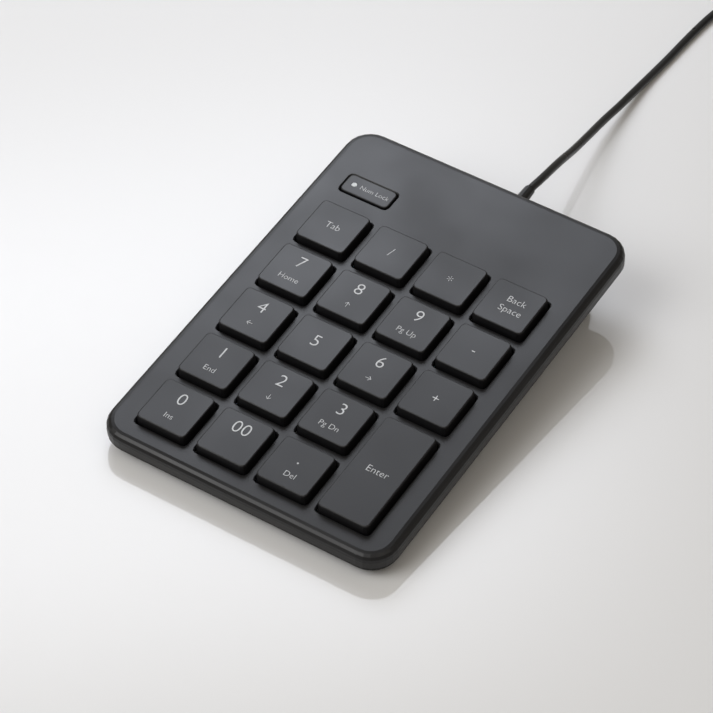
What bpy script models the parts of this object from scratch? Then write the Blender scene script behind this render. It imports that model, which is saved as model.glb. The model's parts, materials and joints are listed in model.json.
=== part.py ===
"""Wired numeric keypad on its fold-out feet, built from the pieces that it comes apart into.

Metres, +Z up. The case, keys and inner pieces are modelled in the keypad's own axes: x to the
right, y to the rear along the deck and z out of the deck, with the origin on the deck's top face
at its centre. One empty then tilts and lifts them all, so that the front rubber feet and the
fold-out feet stand on z = 0. The cable and its plug are placed on that floor directly.
"""

import math

import bmesh
import bpy
from mathutils import Matrix, Vector

# ---------------------------------------------------------------- driving sizes
# Stance
TILT = math.radians(6.3)            # slope of the deck with the rear feet out

# Case
SIDE_MARGIN = 0.0070                # case beyond the key field, on the left and right
FRONT_MARGIN = 0.00525              # and in front of it; behind it, the folded feet set the depth
CASE_CORNER = 0.0080                # plan radius of the four corners
TOP_HEIGHT = 0.0046                 # deck face to the parting line
PARTING_GAP = 0.0002
DECK_THICKNESS = 0.0016
WALL = 0.0018                       # side walls of both covers
FLOOR_THICKNESS = 0.0013
TOP_EDGE_RADIUS = 0.0023            # round-over between deck and sides
BOTTOM_EDGE_RADIUS = 0.0034         # round-over between sides and underside
LIP_THICKNESS = 0.0008              # tongue of the bottom cover inside the top one
LIP_HEIGHT = 0.0010
LIP_CLEARANCE = 0.0003

# Key field
KEY_PITCH = 0.0190
COLUMNS = 4
ROWS = 5
KEY_TOP_WIDTH = 0.0155
KEY_TOP_DEPTH = 0.0153
KEY_DRAFT = 0.00025                 # each side leans in by this much from skirt to top
KEY_PROUD = 0.0025                  # key top above the deck
KEY_STROKE = 0.0020
KEY_CORNER = 0.0013
KEY_EDGE_RADIUS = 0.00035
KEY_WALL = 0.0011
KEY_OPENING_CLEARANCE = 0.0003      # all round, between skirt and deck opening
OPENING_CHAMFER = 0.0003
HOOK_LENGTH = 0.0009                # reach of a retaining hook out of the skirt
HOOK_HEIGHT = 0.0007
HOOK_WIDTH = 0.0024
HOOK_SPACING = 0.0060
STEM_RADIUS = 0.0023
STEM_RIB = 0.0008

# Num Lock button
LOCK_WIDTH = 0.0156
LOCK_DEPTH = 0.0068
LOCK_PROUD = 0.0003
LOCK_STROKE = 0.0005
LOCK_HOOK_HEIGHT = 0.0005
LOCK_CORNER = 0.0014
LOCK_BEHIND_FIELD = 0.0086          # its middle, behind the key field
LED_OFFSET_X = -0.0048              # lamp window from the middle of the button
LED_WINDOW_RADIUS = 0.0008

# Contact stack, from the rubber sheet down
SHEET_CLEARANCE = 0.0002            # from the sheets to the screw posts beside them
SHEET_TRIM_Y = 0.0005               # sheets end this far inside the field's front and rear
SHEET_CORNER = 0.0030
STACK_GAP = 0.0001                  # between sheets that lie on each other
SKIRT_CLEARANCE = 0.00065           # under the skirt of a pressed key
DOME_SHEET_THICKNESS = 0.0005
DOME_BUCKLED = 0.0014               # height that is left of a pressed dome
DOME_BASE_STEP = 0.0009             # height of the dome's stiff cap
DOME_PLUNGER = 0.0007               # plunger inside the cap, which closes the contact
DOME_BASE_RADIUS = 0.0044
DOME_CAP_RADIUS = 0.0026
DOME_WALL = 0.0006
HIDDEN_SIDES = 6                    # facets round the domes, key stems and inner holes
MEMBRANE_THICKNESS = 0.00015
CONTACT_HOLE_RADIUS = 0.0030
BACKPLATE_THICKNESS = 0.0004
BACKPLATE_HOLE_RADIUS = 0.0025
FLOOR_RIB_HEIGHT = 0.0003           # ribs of the tray that the backplate rests on
ENTER_RIB_GAP = 0.0020              # from the rib beside the tall key to that key's column

# Electronics behind the keys
BOARD_LEFT_MARGIN = 0.0095          # board beyond the middle of the lock button
BOARD_RIGHT_X = 0.0300
BOARD_THICKNESS = 0.0010
BOARD_CORNER = 0.0010
BOARD_CLEARANCE = 0.0002            # under the skirt of the pressed lock button
BOARD_BEHIND_FIELD = 0.0027         # its front edge; it ends just before the rear screw bosses
CHIP_X = -0.0060
CHIP_BEHIND_FIELD = 0.0140
CHIP_RADIUS = 0.0042
CHIP_CROWN_RADIUS = 0.0030
CHIP_HEIGHT = 0.0010
SWITCH_SIDE = 0.0036
SWITCH_BODY_HEIGHT = 0.0006
SWITCH_BUTTON_RADIUS = 0.0013
SWITCH_HEIGHT = 0.0012
LED_WIDTH = 0.0016
LED_DEPTH = 0.0010
LED_HEIGHT = 0.0006
SMALL_CORNER = 0.0003               # corners of the parts soldered on the board
SOCKET_WIDTH = 0.0076
SOCKET_DEPTH = 0.0040
SOCKET_HEIGHT = 0.0010
SOCKET_BEHIND_FIELD = 0.0155
TAIL_WIDTH = 0.0160
TAIL_OVERLAP = 0.0010               # root of the tail on its own film
TAIL_FLAT = 0.0012                  # level stretch behind the film before the tail rises
TAIL_PAST_CLAMP = 0.0030
CLAMP_BEHIND_FIELD = 0.0075
CLAMP_DEPTH = 0.0044
CLAMP_THICKNESS = 0.0014
CLAMP_CORNER = 0.0015
CLAMP_SCREW_X = 0.0140
LEAD_RADIUS = 0.0005
LEAD_STEP = 0.0016                  # spacing of the points along the inner leads

# Fasteners
SCREW_FROM_FRONT = 0.00805
SCREW_ANGLE = math.radians(54.3)    # rear screws, seen from the centre of the corner's arc
SCREW_HEAD_RADIUS = 0.0019
SCREW_HEAD_HEIGHT = 0.0013
SCREW_SHANK_RADIUS = 0.0009
SCREW_CLEARANCE = 0.0003
CLAMP_HEAD_HEIGHT = 0.0008
DRIVE_SIZE = 0.0019                 # cross recess in the screw heads
DRIVE_BLADE = 0.0005
DRIVE_DEPTH = 0.0007
BOSS_RADIUS = 0.0024
POST_RADIUS = 0.0028

# Rubber feet under the case
PAD_WIDTH = 0.0120
PAD_DEPTH = 0.0060
PAD_HEIGHT = 0.0018
PAD_RECESS = 0.0005
PAD_FRONT_FROM_SIDE = 0.0180
PAD_REAR_FROM_SIDE = 0.0250
PAD_FROM_FRONT = 0.01525
PAD_FROM_REAR = 0.00605

# Fold-out feet
FOOT_FROM_SIDE = 0.0140
FOOT_WIDTH = 0.0140
FOOT_THICKNESS = 0.0020
FOOT_AXIS_FROM_REAR = 0.01245
FOOT_BEHIND_RIB = 0.000780          # from the deck's rearmost rib to the folded foot's pocket
FOOT_AXIS_INSET = 0.0016            # hinge axis above the underside
FOOT_HUB_RADIUS = 0.0015
FOOT_PIN_RADIUS = 0.0008
FOOT_PIN_LENGTH = 0.0008
FOOT_WINDOW_START = 0.0043          # window in the foot, below the hinge axis
FOOT_WINDOW_ABOVE_TIP = 0.0037
FOOT_WINDOW_BAR = 0.00315           # bars left on both sides of the window
FOOT_CLEARANCE = 0.0004
FOOT_PAD_HEIGHT = 0.0016
FOOT_PAD_SINK = 0.0008
FOOT_PAD_SHOULDER = 0.00196         # foot beyond the rubber strip, on the left and right
POCKET_WALL = 0.0010
SCOOP_RADIUS = 0.0060               # fingertip scoop in front of each folded foot
SCOOP_DEPTH = 0.0008
SCOOP_WIDTH = 0.0090

# Recess for the rating label on the underside
LABEL_WIDTH = 0.0440
LABEL_DEPTH = 0.0240
LABEL_SINK = 0.0003
LABEL_CORNER = 0.0015

# Cable
CABLE_DIAMETER = 0.0024
EXIT_X = 0.0075                     # cable exit, right of the centre line
RELIEF_LENGTH = 0.0060              # strain relief outside the rear wall
RELIEF_WALL = 0.0006                # sleeve's wall where it passes the case
RELIEF_TIP_WALL = 0.0004
RELIEF_FLANGE_REACH = 0.0007        # flange beyond the sleeve
RELIEF_STRAIGHT = 0.0010            # sleeve outside the case before its taper starts
RELIEF_FLANGE_THICKNESS = 0.0017
COIL_MEAN_DIAMETER = 0.0288
COIL_SECTION = 0.0100               # side of the bundle of turns
COIL_CENTRE = (0.0240, 0.2140)
PLUG_WIDTH = 0.0156
PLUG_LENGTH = 0.0210
PLUG_THICKNESS = 0.0078
SHELL_WIDTH = 0.0120
SHELL_LENGTH = 0.0122
SHELL_THICKNESS = 0.0045
SHELL_WALL = 0.0003
SHELL_WINDOW_WIDTH = 0.0024
SHELL_WINDOW_LENGTH = 0.0020
SHELL_WINDOW_X = 0.0028
SHELL_WINDOW_FROM_TIP = 0.0064
PLUG_CORNER = 0.0022
PLUG_EDGE_RADIUS = 0.0010
NECK_RADIUS = 0.0030                # at the grip; it tapers to the cable
NECK_WALL = 0.0006
NECK_SINK = 0.0010
TONGUE_THICKNESS = 0.0017
TONGUE_FROM_TIP = 0.0008
TONGUE_SHORTER = 0.0020             # than the shell
PLUG_CENTRE_X = 0.0478
PLUG_NECK_LENGTH = 0.0080
PLUG_NECK_END_Y = 0.1890            # where the cable goes into the plug's neck
COIL_LIFT = 0.0009                  # the coil lies on its tie
TIE_THICKNESS = 0.0006
TIE_WIDTH = 0.0040

SEAT_GAP = 0.0003                   # between pieces that touch

# Route of the cable from the strain relief to the coil, on the floor's axes.
CABLE_ROUTE = (
    (0.0075, 0.0712, 0.01885),
    (0.0076, 0.0782, 0.0182),
    (0.0066, 0.0894, 0.0155),
    (0.0052, 0.1010, 0.0115),
    (0.0037, 0.1133, 0.0080),
    (0.0026, 0.1244, 0.0054),
    (0.0022, 0.1344, 0.0036),
    (0.0019, 0.1435, 0.0024),
    (0.0018, 0.1519, 0.0016),
    (0.0019, 0.1594, 0.00125),
    (0.0021, 0.1661, 0.0012),
    (0.0022, 0.1738, 0.0012),
    (0.0024, 0.1813, 0.0012),
    (0.0027, 0.1880, 0.0012),
    (0.0033, 0.1940, 0.0012),
    (0.0040, 0.2000, 0.0012),
    (0.0047, 0.2058, 0.0012),
)

# Route of the free end from the coil to the plug.
CABLE_END_ROUTE = (
    (0.0434, 0.2060, 0.0082),
    (0.0445, 0.2025, 0.0070),
    (0.0457, 0.1990, 0.0055),
    (0.0468, 0.1955, 0.0043),
    (0.0475, 0.1922, 0.0039),
    (0.0478, 0.1893, 0.0039),
)

# ---------------------------------------------------------------- sizes that follow
CASE_WIDTH = COLUMNS * KEY_PITCH + 2 * SIDE_MARGIN
KEY_SKIRT_WIDTH = KEY_TOP_WIDTH + 2 * KEY_DRAFT
KEY_SKIRT_DEPTH = KEY_TOP_DEPTH + 2 * KEY_DRAFT

# Heights, from the deck face down
HOOK_TOP = -(DECK_THICKNESS + SEAT_GAP)
SKIRT_BOTTOM = HOOK_TOP - HOOK_HEIGHT
LOCK_SKIRT_BOTTOM = HOOK_TOP - LOCK_HOOK_HEIGHT
DOME_SHEET_TOP = SKIRT_BOTTOM - KEY_STROKE - SKIRT_CLEARANCE
DOME_SHEET_BOTTOM = DOME_SHEET_TOP - DOME_SHEET_THICKNESS
DOME_TOP = DOME_SHEET_BOTTOM + DOME_BUCKLED + KEY_STROKE
STEM_BOTTOM = DOME_TOP + SEAT_GAP
UPPER_TOP = DOME_SHEET_BOTTOM - STACK_GAP
SPACER_TOP = UPPER_TOP - MEMBRANE_THICKNESS - STACK_GAP
LOWER_TOP = SPACER_TOP - MEMBRANE_THICKNESS - STACK_GAP
BACKPLATE_TOP = LOWER_TOP - MEMBRANE_THICKNESS - STACK_GAP
BACKPLATE_BOTTOM = BACKPLATE_TOP - BACKPLATE_THICKNESS
INNER_FLOOR = BACKPLATE_BOTTOM - SEAT_GAP - FLOOR_RIB_HEIGHT
UNDERSIDE = INNER_FLOOR - FLOOR_THICKNESS
BOTTOM_TOP = -(TOP_HEIGHT + PARTING_GAP)
EXIT_Z = -(TOP_HEIGHT + PARTING_GAP / 2)
BOARD_TOP = LOCK_SKIRT_BOTTOM - LOCK_STROKE - BOARD_CLEARANCE
BOARD_BOTTOM = BOARD_TOP - BOARD_THICKNESS
BOARD_FOOT = BOARD_TOP + STACK_GAP
SWITCH_TOP = BOARD_TOP + SEAT_GAP + SWITCH_HEIGHT
PAD_BOTTOM = UNDERSIDE + PAD_RECESS + SEAT_GAP - PAD_HEIGHT
FOOT_AXIS_Z = UNDERSIDE + FOOT_AXIS_INSET
POCKET_CEILING = FOOT_AXIS_Z + FOOT_HUB_RADIUS + FOOT_CLEARANCE

# An open foot is as long as the tilt asks for over the distance from the front feet to the
# hinge. Folded forward it ends behind the key field, so its length also sets the hinge's place.
FOOT_ALLOWANCE = FOOT_THICKNESS / 2 * math.tan(TILT) + FOOT_PAD_HEIGHT - FOOT_PAD_SINK
FOOT_RISE = FOOT_AXIS_Z - PAD_BOTTOM - FOOT_ALLOWANCE
FIELD_FROM_FRONT_PADS = FRONT_MARGIN + ROWS * KEY_PITCH - PAD_FROM_FRONT + PAD_DEPTH / 2
POCKET_AHEAD = FOOT_PAD_HEIGHT + FOOT_CLEARANCE + POCKET_WALL
DECK_RIB_THICKNESS = (KEY_PITCH - KEY_SKIRT_DEPTH) / 2 - KEY_OPENING_CLEARANCE
POCKET_BEHIND_FIELD = DECK_RIB_THICKNESS / 2 + FOOT_BEHIND_RIB
SHORTEST_FOOT = FOOT_RISE + FIELD_FROM_FRONT_PADS * math.tan(TILT)
HINGE_BEHIND_FIELD = (POCKET_BEHIND_FIELD + POCKET_AHEAD + SHORTEST_FOOT) / (1 - math.tan(TILT))
FOOT_LENGTH = SHORTEST_FOOT + HINGE_BEHIND_FIELD * math.tan(TILT)

# Places on the deck, from the middle of the case
REAR_ZONE = HINGE_BEHIND_FIELD + FOOT_AXIS_FROM_REAR
CASE_WIDTH = COLUMNS * KEY_PITCH + 2 * SIDE_MARGIN
CASE_DEPTH = FRONT_MARGIN + ROWS * KEY_PITCH + REAR_ZONE
FIELD_CENTRE_Y = (FRONT_MARGIN - REAR_ZONE) / 2
FIELD_REAR_EDGE = FIELD_CENTRE_Y + ROWS / 2 * KEY_PITCH
FIELD_FRONT_Y = FIELD_CENTRE_Y - (ROWS - 1) / 2 * KEY_PITCH
FIELD_REAR_Y = FIELD_CENTRE_Y + (ROWS - 1) / 2 * KEY_PITCH
CORNER_REACH = (
    CASE_CORNER - WALL - LIP_CLEARANCE - LIP_THICKNESS - BOSS_RADIUS - SEAT_GAP
)
SCREW_X = CASE_WIDTH / 2 - CASE_CORNER + CORNER_REACH * math.cos(SCREW_ANGLE)
SCREW_FRONT_Y = SCREW_FROM_FRONT - CASE_DEPTH / 2
SCREW_REAR_Y = CASE_DEPTH / 2 - CASE_CORNER + CORNER_REACH * math.sin(SCREW_ANGLE)
SHEET_HALF_WIDTH = SCREW_X - POST_RADIUS - SHEET_CLEARANCE
STACK_FRONT_Y = FIELD_FRONT_Y - KEY_PITCH / 2 + SHEET_TRIM_Y
STACK_REAR_Y = FIELD_REAR_Y + KEY_PITCH / 2 - SHEET_TRIM_Y
LOCK_X = -(COLUMNS - 1) / 2 * KEY_PITCH
LOCK_CENTRE_Y = FIELD_REAR_EDGE + LOCK_BEHIND_FIELD
CLAMP_Y = FIELD_REAR_EDGE + CLAMP_BEHIND_FIELD
SOCKET_Y = FIELD_REAR_EDGE + SOCKET_BEHIND_FIELD
BOARD_LEFT_X = LOCK_X - BOARD_LEFT_MARGIN
BOARD_FRONT_Y = FIELD_REAR_EDGE + BOARD_BEHIND_FIELD
BOARD_REAR_Y = SCREW_REAR_Y - BOSS_RADIUS - STACK_GAP
PAD_FRONT_Y = PAD_FROM_FRONT - CASE_DEPTH / 2
PAD_REAR_Y = CASE_DEPTH / 2 - PAD_FROM_REAR
FOOT_X = CASE_WIDTH / 2 - FOOT_FROM_SIDE
FOOT_AXIS_Y = FIELD_REAR_EDGE + HINGE_BEHIND_FIELD
RELIEF_BORE = CABLE_DIAMETER / 2 + STACK_GAP
RELIEF_RADIUS = CABLE_DIAMETER / 2 + RELIEF_WALL
RELIEF_TIP_RADIUS = CABLE_DIAMETER / 2 + RELIEF_TIP_WALL
RELIEF_FLANGE_RADIUS = RELIEF_RADIUS + RELIEF_FLANGE_REACH

# The front feet touch the floor along their front lower edge, which sets the deck's height.
PAD_FRONT_EDGE = PAD_FRONT_Y - PAD_DEPTH / 2
DECK_HEIGHT = -(PAD_FRONT_EDGE * math.sin(TILT) + PAD_BOTTOM * math.cos(TILT))
FOOT_AXIS_HEIGHT = DECK_HEIGHT + FOOT_AXIS_Y * math.sin(TILT) + FOOT_AXIS_Z * math.cos(TILT)

# The case is centred front to back, between its front wall and its lower rear edge.
CASE_FRONT = (
    -(CASE_DEPTH / 2 - TOP_EDGE_RADIUS) * math.cos(TILT)
    + TOP_EDGE_RADIUS * math.sin(TILT)
    - TOP_EDGE_RADIUS
)
CASE_REAR = (
    (CASE_DEPTH / 2 - BOTTOM_EDGE_RADIUS) * math.cos(TILT)
    - (UNDERSIDE + BOTTOM_EDGE_RADIUS) * math.sin(TILT)
    + BOTTOM_EDGE_RADIUS
)
DECK_SHIFT = -(CASE_FRONT + CASE_REAR) / 2


def key_layout():
    """Yields (node name, x, y, depth in key units) for the nineteen keys, front row first."""
    names = (
        ("key_0", "key_00", "key_decimal", None),
        ("key_1", "key_2", "key_3", "key_enter"),
        ("key_4", "key_5", "key_6", "key_add"),
        ("key_7", "key_8", "key_9", "key_subtract"),
        ("key_tab", "key_divide", "key_multiply", "key_backspace"),
    )
    for row, row_names in enumerate(names):
        for column, name in enumerate(row_names):
            if name is None:
                continue
            units = 2 if name == "key_enter" else 1
            x = (column - (COLUMNS - 1) / 2) * KEY_PITCH
            y = FIELD_FRONT_Y + (row - (units - 1) / 2) * KEY_PITCH
            yield name, x, y, units


# ---------------------------------------------------------------- scene helpers
def clear_scene():
    for item in list(bpy.data.objects):
        bpy.data.objects.remove(item)


def new_collection(name):
    collection = bpy.data.collections.new(name)
    bpy.context.scene.collection.children.link(collection)
    return collection


clear_scene()
PARTS = new_collection("numeric_keypad")
CUTTERS = new_collection("cutters")
KEYPAD_AXES = bpy.data.objects.new("keypad_axes", None)
PARTS.objects.link(KEYPAD_AXES)
KEYPAD_AXES.location = (0, DECK_SHIFT, DECK_HEIGHT)
KEYPAD_AXES.rotation_euler = (TILT, 0, 0)


def finish(name, colour, roughness=0.5, metallic=0.0):
    found = bpy.data.materials.get(name)
    if found:
        return found
    made = bpy.data.materials.new(name)
    made.use_nodes = True
    shader = made.node_tree.nodes["Principled BSDF"]
    shader.inputs["Base Color"].default_value = (*colour, 1)
    shader.inputs["Roughness"].default_value = roughness
    shader.inputs["Metallic"].default_value = metallic
    return made


def add_part(name, mesh, material, parent=KEYPAD_AXES, location=(0, 0, 0), smooth=35):
    """One piece of the keypad: a named object with its material, on the keypad's axes."""
    part = bpy.data.objects.new(name, mesh)
    PARTS.objects.link(part)
    part.parent = parent
    part.location = location
    if not mesh.materials:
        mesh.materials.append(material)
    mesh.shade_smooth()
    mesh.set_sharp_from_angle(angle=math.radians(smooth))
    return part


def add_tool(name, mesh, parent=KEYPAD_AXES, location=(0, 0, 0)):
    """A helper that a Boolean cuts or adds with. It isn't a piece."""
    tool = bpy.data.objects.new(name, mesh)
    CUTTERS.objects.link(tool)
    tool.parent = parent
    tool.location = location
    tool.hide_render = True
    tool.display_type = "WIRE"
    return tool


def combine(part, tool, operation):
    modifier = part.modifiers.new(tool.name, "BOOLEAN")
    modifier.operation = operation
    modifier.object = tool


def cut(part, name, mesh):
    combine(part, add_tool(name, mesh, part.parent, part.location), "DIFFERENCE")


def join(part, name, mesh):
    combine(part, add_tool(name, mesh, part.parent, part.location), "UNION")


def baked_mesh(thing, name):
    """The mesh that an object's modifiers or curve settings make, with its seams closed."""
    bpy.context.view_layer.update()
    graph = bpy.context.evaluated_depsgraph_get()
    mesh = bpy.data.meshes.new_from_object(thing.evaluated_get(graph))
    mesh.name = name
    model = bmesh.new()
    model.from_mesh(mesh)
    bmesh.ops.remove_doubles(model, verts=model.verts, dist=1e-6)
    bmesh.ops.recalc_face_normals(model, faces=model.faces)
    model.to_mesh(mesh)
    model.free()
    bpy.data.objects.remove(thing)
    return mesh


# ---------------------------------------------------------------- shape helpers
def mesh_of(model, name):
    mesh = bpy.data.meshes.new(name)
    bmesh.ops.recalc_face_normals(model, faces=model.faces)
    model.to_mesh(mesh)
    model.free()
    return mesh


def rim_edges(model, height):
    """Edges that lie at one height, which are the outline of a slab's top or bottom."""
    return [
        edge
        for edge in model.edges
        if all(abs(vert.co.z - height) < 1e-7 for vert in edge.verts)
    ]


def slab(
    name,
    width,
    depth,
    bottom,
    top,
    centre=(0, 0),
    corner=0.0,
    corner_steps=4,
    top_edge=0.0,
    bottom_edge=0.0,
    edge_steps=2,
    draft=0.0,
):
    """A block with rounded corners, rounded rims, and sides that lean in by draft at the top."""
    model = bmesh.new()
    bmesh.ops.create_cube(model, size=1.0)
    bmesh.ops.scale(model, vec=(width, depth, top - bottom), verts=model.verts)
    bmesh.ops.translate(model, vec=(0, 0, (top + bottom) / 2), verts=model.verts)
    if corner:
        uprights = [e for e in model.edges if abs(e.verts[0].co.z - e.verts[1].co.z) > 1e-7]
        bmesh.ops.bevel(
            model, geom=uprights, offset=corner, segments=corner_steps, profile=0.5, affect="EDGES"
        )
    if draft:
        leaning = [vert for vert in model.verts if vert.co.z > (top + bottom) / 2]
        lean = (1 - 2 * draft / width, 1 - 2 * draft / depth, 1)
        bmesh.ops.scale(model, vec=lean, verts=leaning)
    for height, radius in ((top, top_edge), (bottom, bottom_edge)):
        if radius:
            edges = rim_edges(model, height)
            bmesh.ops.bevel(
                model, geom=edges, offset=radius, segments=edge_steps, profile=0.5, affect="EDGES"
            )
    bmesh.ops.translate(model, vec=(centre[0], centre[1], 0), verts=model.verts)
    return mesh_of(model, name)


def rod(name, radius, start, end, centre=(0, 0), sides=16, along="Z", end_radius=None):
    """A cylinder or cone from start to end along an axis, at centre on the other two axes."""
    model = bmesh.new()
    bmesh.ops.create_cone(
        model,
        cap_ends=True,
        segments=sides,
        radius1=radius,
        radius2=radius if end_radius is None else end_radius,
        depth=end - start,
    )
    bmesh.ops.translate(model, vec=(0, 0, (start + end) / 2), verts=model.verts)
    turn = {"Z": Matrix(), "X": Matrix.Rotation(math.pi / 2, 4, "Y"), "Y": None}[along]
    if turn is None:
        turn = Matrix.Rotation(-math.pi / 2, 4, "X")
    bmesh.ops.transform(model, matrix=turn, verts=model.verts)
    offset = {"Z": (*centre, 0), "X": (0, *centre), "Y": (centre[0], 0, centre[1])}[along]
    bmesh.ops.translate(model, vec=offset, verts=model.verts)
    return mesh_of(model, name)


def turned(name, outline, steps):
    """The solid that a closed outline of (radius, height) points sweeps round the Z axis."""
    model = bmesh.new()
    verts = [model.verts.new((radius, 0, height)) for radius, height in outline]
    for first, second in zip(verts, verts[1:] + verts[:1]):
        if first.co.x > 1e-7 or second.co.x > 1e-7:
            model.edges.new((first, second))
    profile = bpy.data.meshes.new(name)
    model.to_mesh(profile)
    model.free()
    thing = bpy.data.objects.new(name, profile)
    CUTTERS.objects.link(thing)
    screw = thing.modifiers.new("turn", "SCREW")
    screw.steps = steps
    screw.render_steps = steps
    screw.use_merge_vertices = True
    screw.merge_threshold = 1e-6
    return baked_mesh(thing, name)


def merged(name, meshes):
    """Several meshes as one, for a tool that holds separate bodies."""
    model = bmesh.new()
    for mesh in meshes:
        model.from_mesh(mesh)
    made = bpy.data.meshes.new(name)
    model.to_mesh(made)
    model.free()
    return made


def moved(mesh, name, offset, turn=None):
    model = bmesh.new()
    model.from_mesh(mesh)
    if turn is not None:
        bmesh.ops.transform(model, matrix=turn, verts=model.verts)
    bmesh.ops.translate(model, vec=offset, verts=model.verts)
    return mesh_of(model, name)


def strip(name, path, width, thickness):
    """A flat ribbon that follows (y, z) points, width wide across X."""
    model = bmesh.new()
    rows = []
    for y, z in path:
        rows.append([model.verts.new((side * width / 2, y, z)) for side in (-1, 1)])
    for near, far in zip(rows, rows[1:]):
        model.faces.new((near[0], near[1], far[1], far[0]))
    surface = bpy.data.meshes.new(name)
    model.to_mesh(surface)
    model.free()
    thing = bpy.data.objects.new(name, surface)
    CUTTERS.objects.link(thing)
    solidify = thing.modifiers.new("thickness", "SOLIDIFY")
    solidify.thickness = thickness
    solidify.offset = 0
    return baked_mesh(thing, name)


def smooth_route(points, spacing):
    """Evenly spaced points on the smooth curve through a route's own points."""
    points = [Vector(point) for point in points]
    padded = [2 * points[0] - points[1], *points, 2 * points[-1] - points[-2]]
    fine = []
    for before, start, end, after in zip(padded, padded[1:], padded[2:], padded[3:]):
        for step in range(16):
            t = step / 16
            fine.append(
                0.5
                * (
                    2 * start
                    + (end - before) * t
                    + (2 * before - 5 * start + 4 * end - after) * t * t
                    + (3 * start - before - 3 * end + after) * t**3
                )
            )
    fine.append(points[-1])
    length = sum((b - a).length for a, b in zip(fine, fine[1:]))
    count = max(2, round(length / spacing))
    even = [fine[0]]
    walked = 0.0
    for a, b in zip(fine, fine[1:]):
        step = (b - a).length
        while len(even) < count and walked + step >= length * len(even) / count:
            even.append(a.lerp(b, (length * len(even) / count - walked) / step))
        walked += step
    even.append(fine[-1])
    return even


def tube(name, points, radius, material, parent=None, bevel_resolution=2):
    """A round cord along a list of points."""
    curve = bpy.data.curves.new(name, "CURVE")
    curve.dimensions = "3D"
    spline = curve.splines.new("POLY")
    spline.points.add(len(points) - 1)
    for point, place in zip(spline.points, points):
        point.co = (*place, 1)
    curve.bevel_depth = radius
    curve.bevel_resolution = bevel_resolution
    curve.use_fill_caps = True
    curve.materials.append(material)
    part = bpy.data.objects.new(name, curve)
    PARTS.objects.link(part)
    part.parent = parent
    return part


# ---------------------------------------------------------------- materials
CHARCOAL_ABS = finish("charcoal_abs", (0.050, 0.052, 0.056), 0.52)
KEY_ABS = finish("key_abs", (0.042, 0.044, 0.048), 0.48)
BLACK_ABS = finish("black_abs", (0.020, 0.020, 0.022), 0.55)
SILICONE = finish("silicone", (0.55, 0.57, 0.60), 0.60)
POLYESTER = finish("polyester_film", (0.62, 0.68, 0.66), 0.30)
STEEL = finish("zinc_plated_steel", (0.62, 0.62, 0.60), 0.35, 1.0)
NICKEL = finish("nickel_plate", (0.70, 0.69, 0.66), 0.25, 1.0)
BOARD_GREEN = finish("glass_epoxy", (0.030, 0.16, 0.075), 0.45)
EPOXY = finish("epoxy_resin", (0.012, 0.012, 0.013), 0.35)
RUBBER = finish("black_rubber", (0.016, 0.016, 0.016), 0.80)
PVC = finish("black_pvc", (0.018, 0.018, 0.019), 0.50)
CLEAR_ACRYLIC = finish("clear_acrylic", (0.80, 0.82, 0.80), 0.10)
LED_RESIN = finish("led_resin", (0.75, 0.78, 0.70), 0.20)
TONGUE_WHITE = finish("tongue_nylon", (0.78, 0.78, 0.76), 0.45)


# ---------------------------------------------------------------- keys
def opening(name, width, depth, corner, centre):
    """The hole that a key slides in, with a small chamfer round its upper rim."""
    model = bmesh.new()
    model.from_mesh(slab(name, width, depth, -TOP_HEIGHT, -OPENING_CHAMFER, (0, 0), corner, 2))
    roof = [face for face in model.faces if face.normal.z > 0.9]
    flare = bmesh.ops.extrude_face_region(model, geom=roof)["geom"]
    rim = [item for item in flare if isinstance(item, bmesh.types.BMVert)]
    bmesh.ops.delete(model, geom=roof, context="FACES_ONLY")
    reach = 2 * OPENING_CHAMFER
    bmesh.ops.translate(model, vec=(0, 0, reach), verts=rim)
    bmesh.ops.scale(model, vec=(1 + 2 * reach / width, 1 + 2 * reach / depth, 1), verts=rim)
    bmesh.ops.translate(model, vec=(*centre, 0), verts=model.verts)
    return mesh_of(model, name)


def keycap_mesh(name, units):
    """A hollow cap: skirt, retaining hooks, cross ribs and the stem that pushes the dome."""
    extra = (units - 1) * KEY_PITCH
    width = KEY_SKIRT_WIDTH
    depth = KEY_SKIRT_DEPTH + extra
    cap = slab(
        name,
        width,
        depth,
        SKIRT_BOTTOM,
        KEY_PROUD,
        corner=KEY_CORNER,
        corner_steps=2,
        top_edge=KEY_EDGE_RADIUS,
        draft=KEY_DRAFT,
    )
    thing = add_tool(name, cap, None)
    thing.hide_render = False
    roof = KEY_PROUD - KEY_WALL
    hollow = slab(
        name + "_hollow",
        width - 2 * KEY_WALL,
        depth - 2 * KEY_WALL,
        SKIRT_BOTTOM - KEY_WALL,
        roof,
    )
    cut(thing, name + "_hollow", hollow)
    ribs = slab(name + "_rib_x", width - KEY_WALL, STEM_RIB, roof - KEY_WALL, roof + KEY_WALL / 2)
    join(thing, name + "_rib_x", ribs)
    ribs = slab(name + "_rib_y", STEM_RIB, depth - KEY_WALL, roof - KEY_WALL, roof + KEY_WALL / 2)
    join(thing, name + "_rib_y", ribs)
    stem_top = roof + KEY_WALL / 2
    stem = rod(name + "_stem", STEM_RADIUS, STEM_BOTTOM, stem_top, sides=HIDDEN_SIDES)
    join(thing, name + "_stem", stem)
    hooks = []
    for side in (-1, 1):
        for y in hook_places(units):
            hook = slab(
                name + "_hook",
                HOOK_LENGTH + KEY_WALL / 2,
                HOOK_WIDTH,
                SKIRT_BOTTOM,
                HOOK_TOP,
                centre=(side * (width / 2 + (HOOK_LENGTH - KEY_WALL / 2) / 2), y),
            )
            hooks.append(hook)
    join(thing, name + "_hooks", merged(name + "_hooks", hooks))
    return baked_mesh(thing, name)


def hook_places(units):
    """Where the hooks sit along a key's side, from its centre: a pair for each key unit."""
    pairs = [(unit - (units - 1) / 2) * KEY_PITCH for unit in range(units)]
    return [middle + side * HOOK_SPACING / 2 for middle in pairs for side in (-1, 1)]


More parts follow.
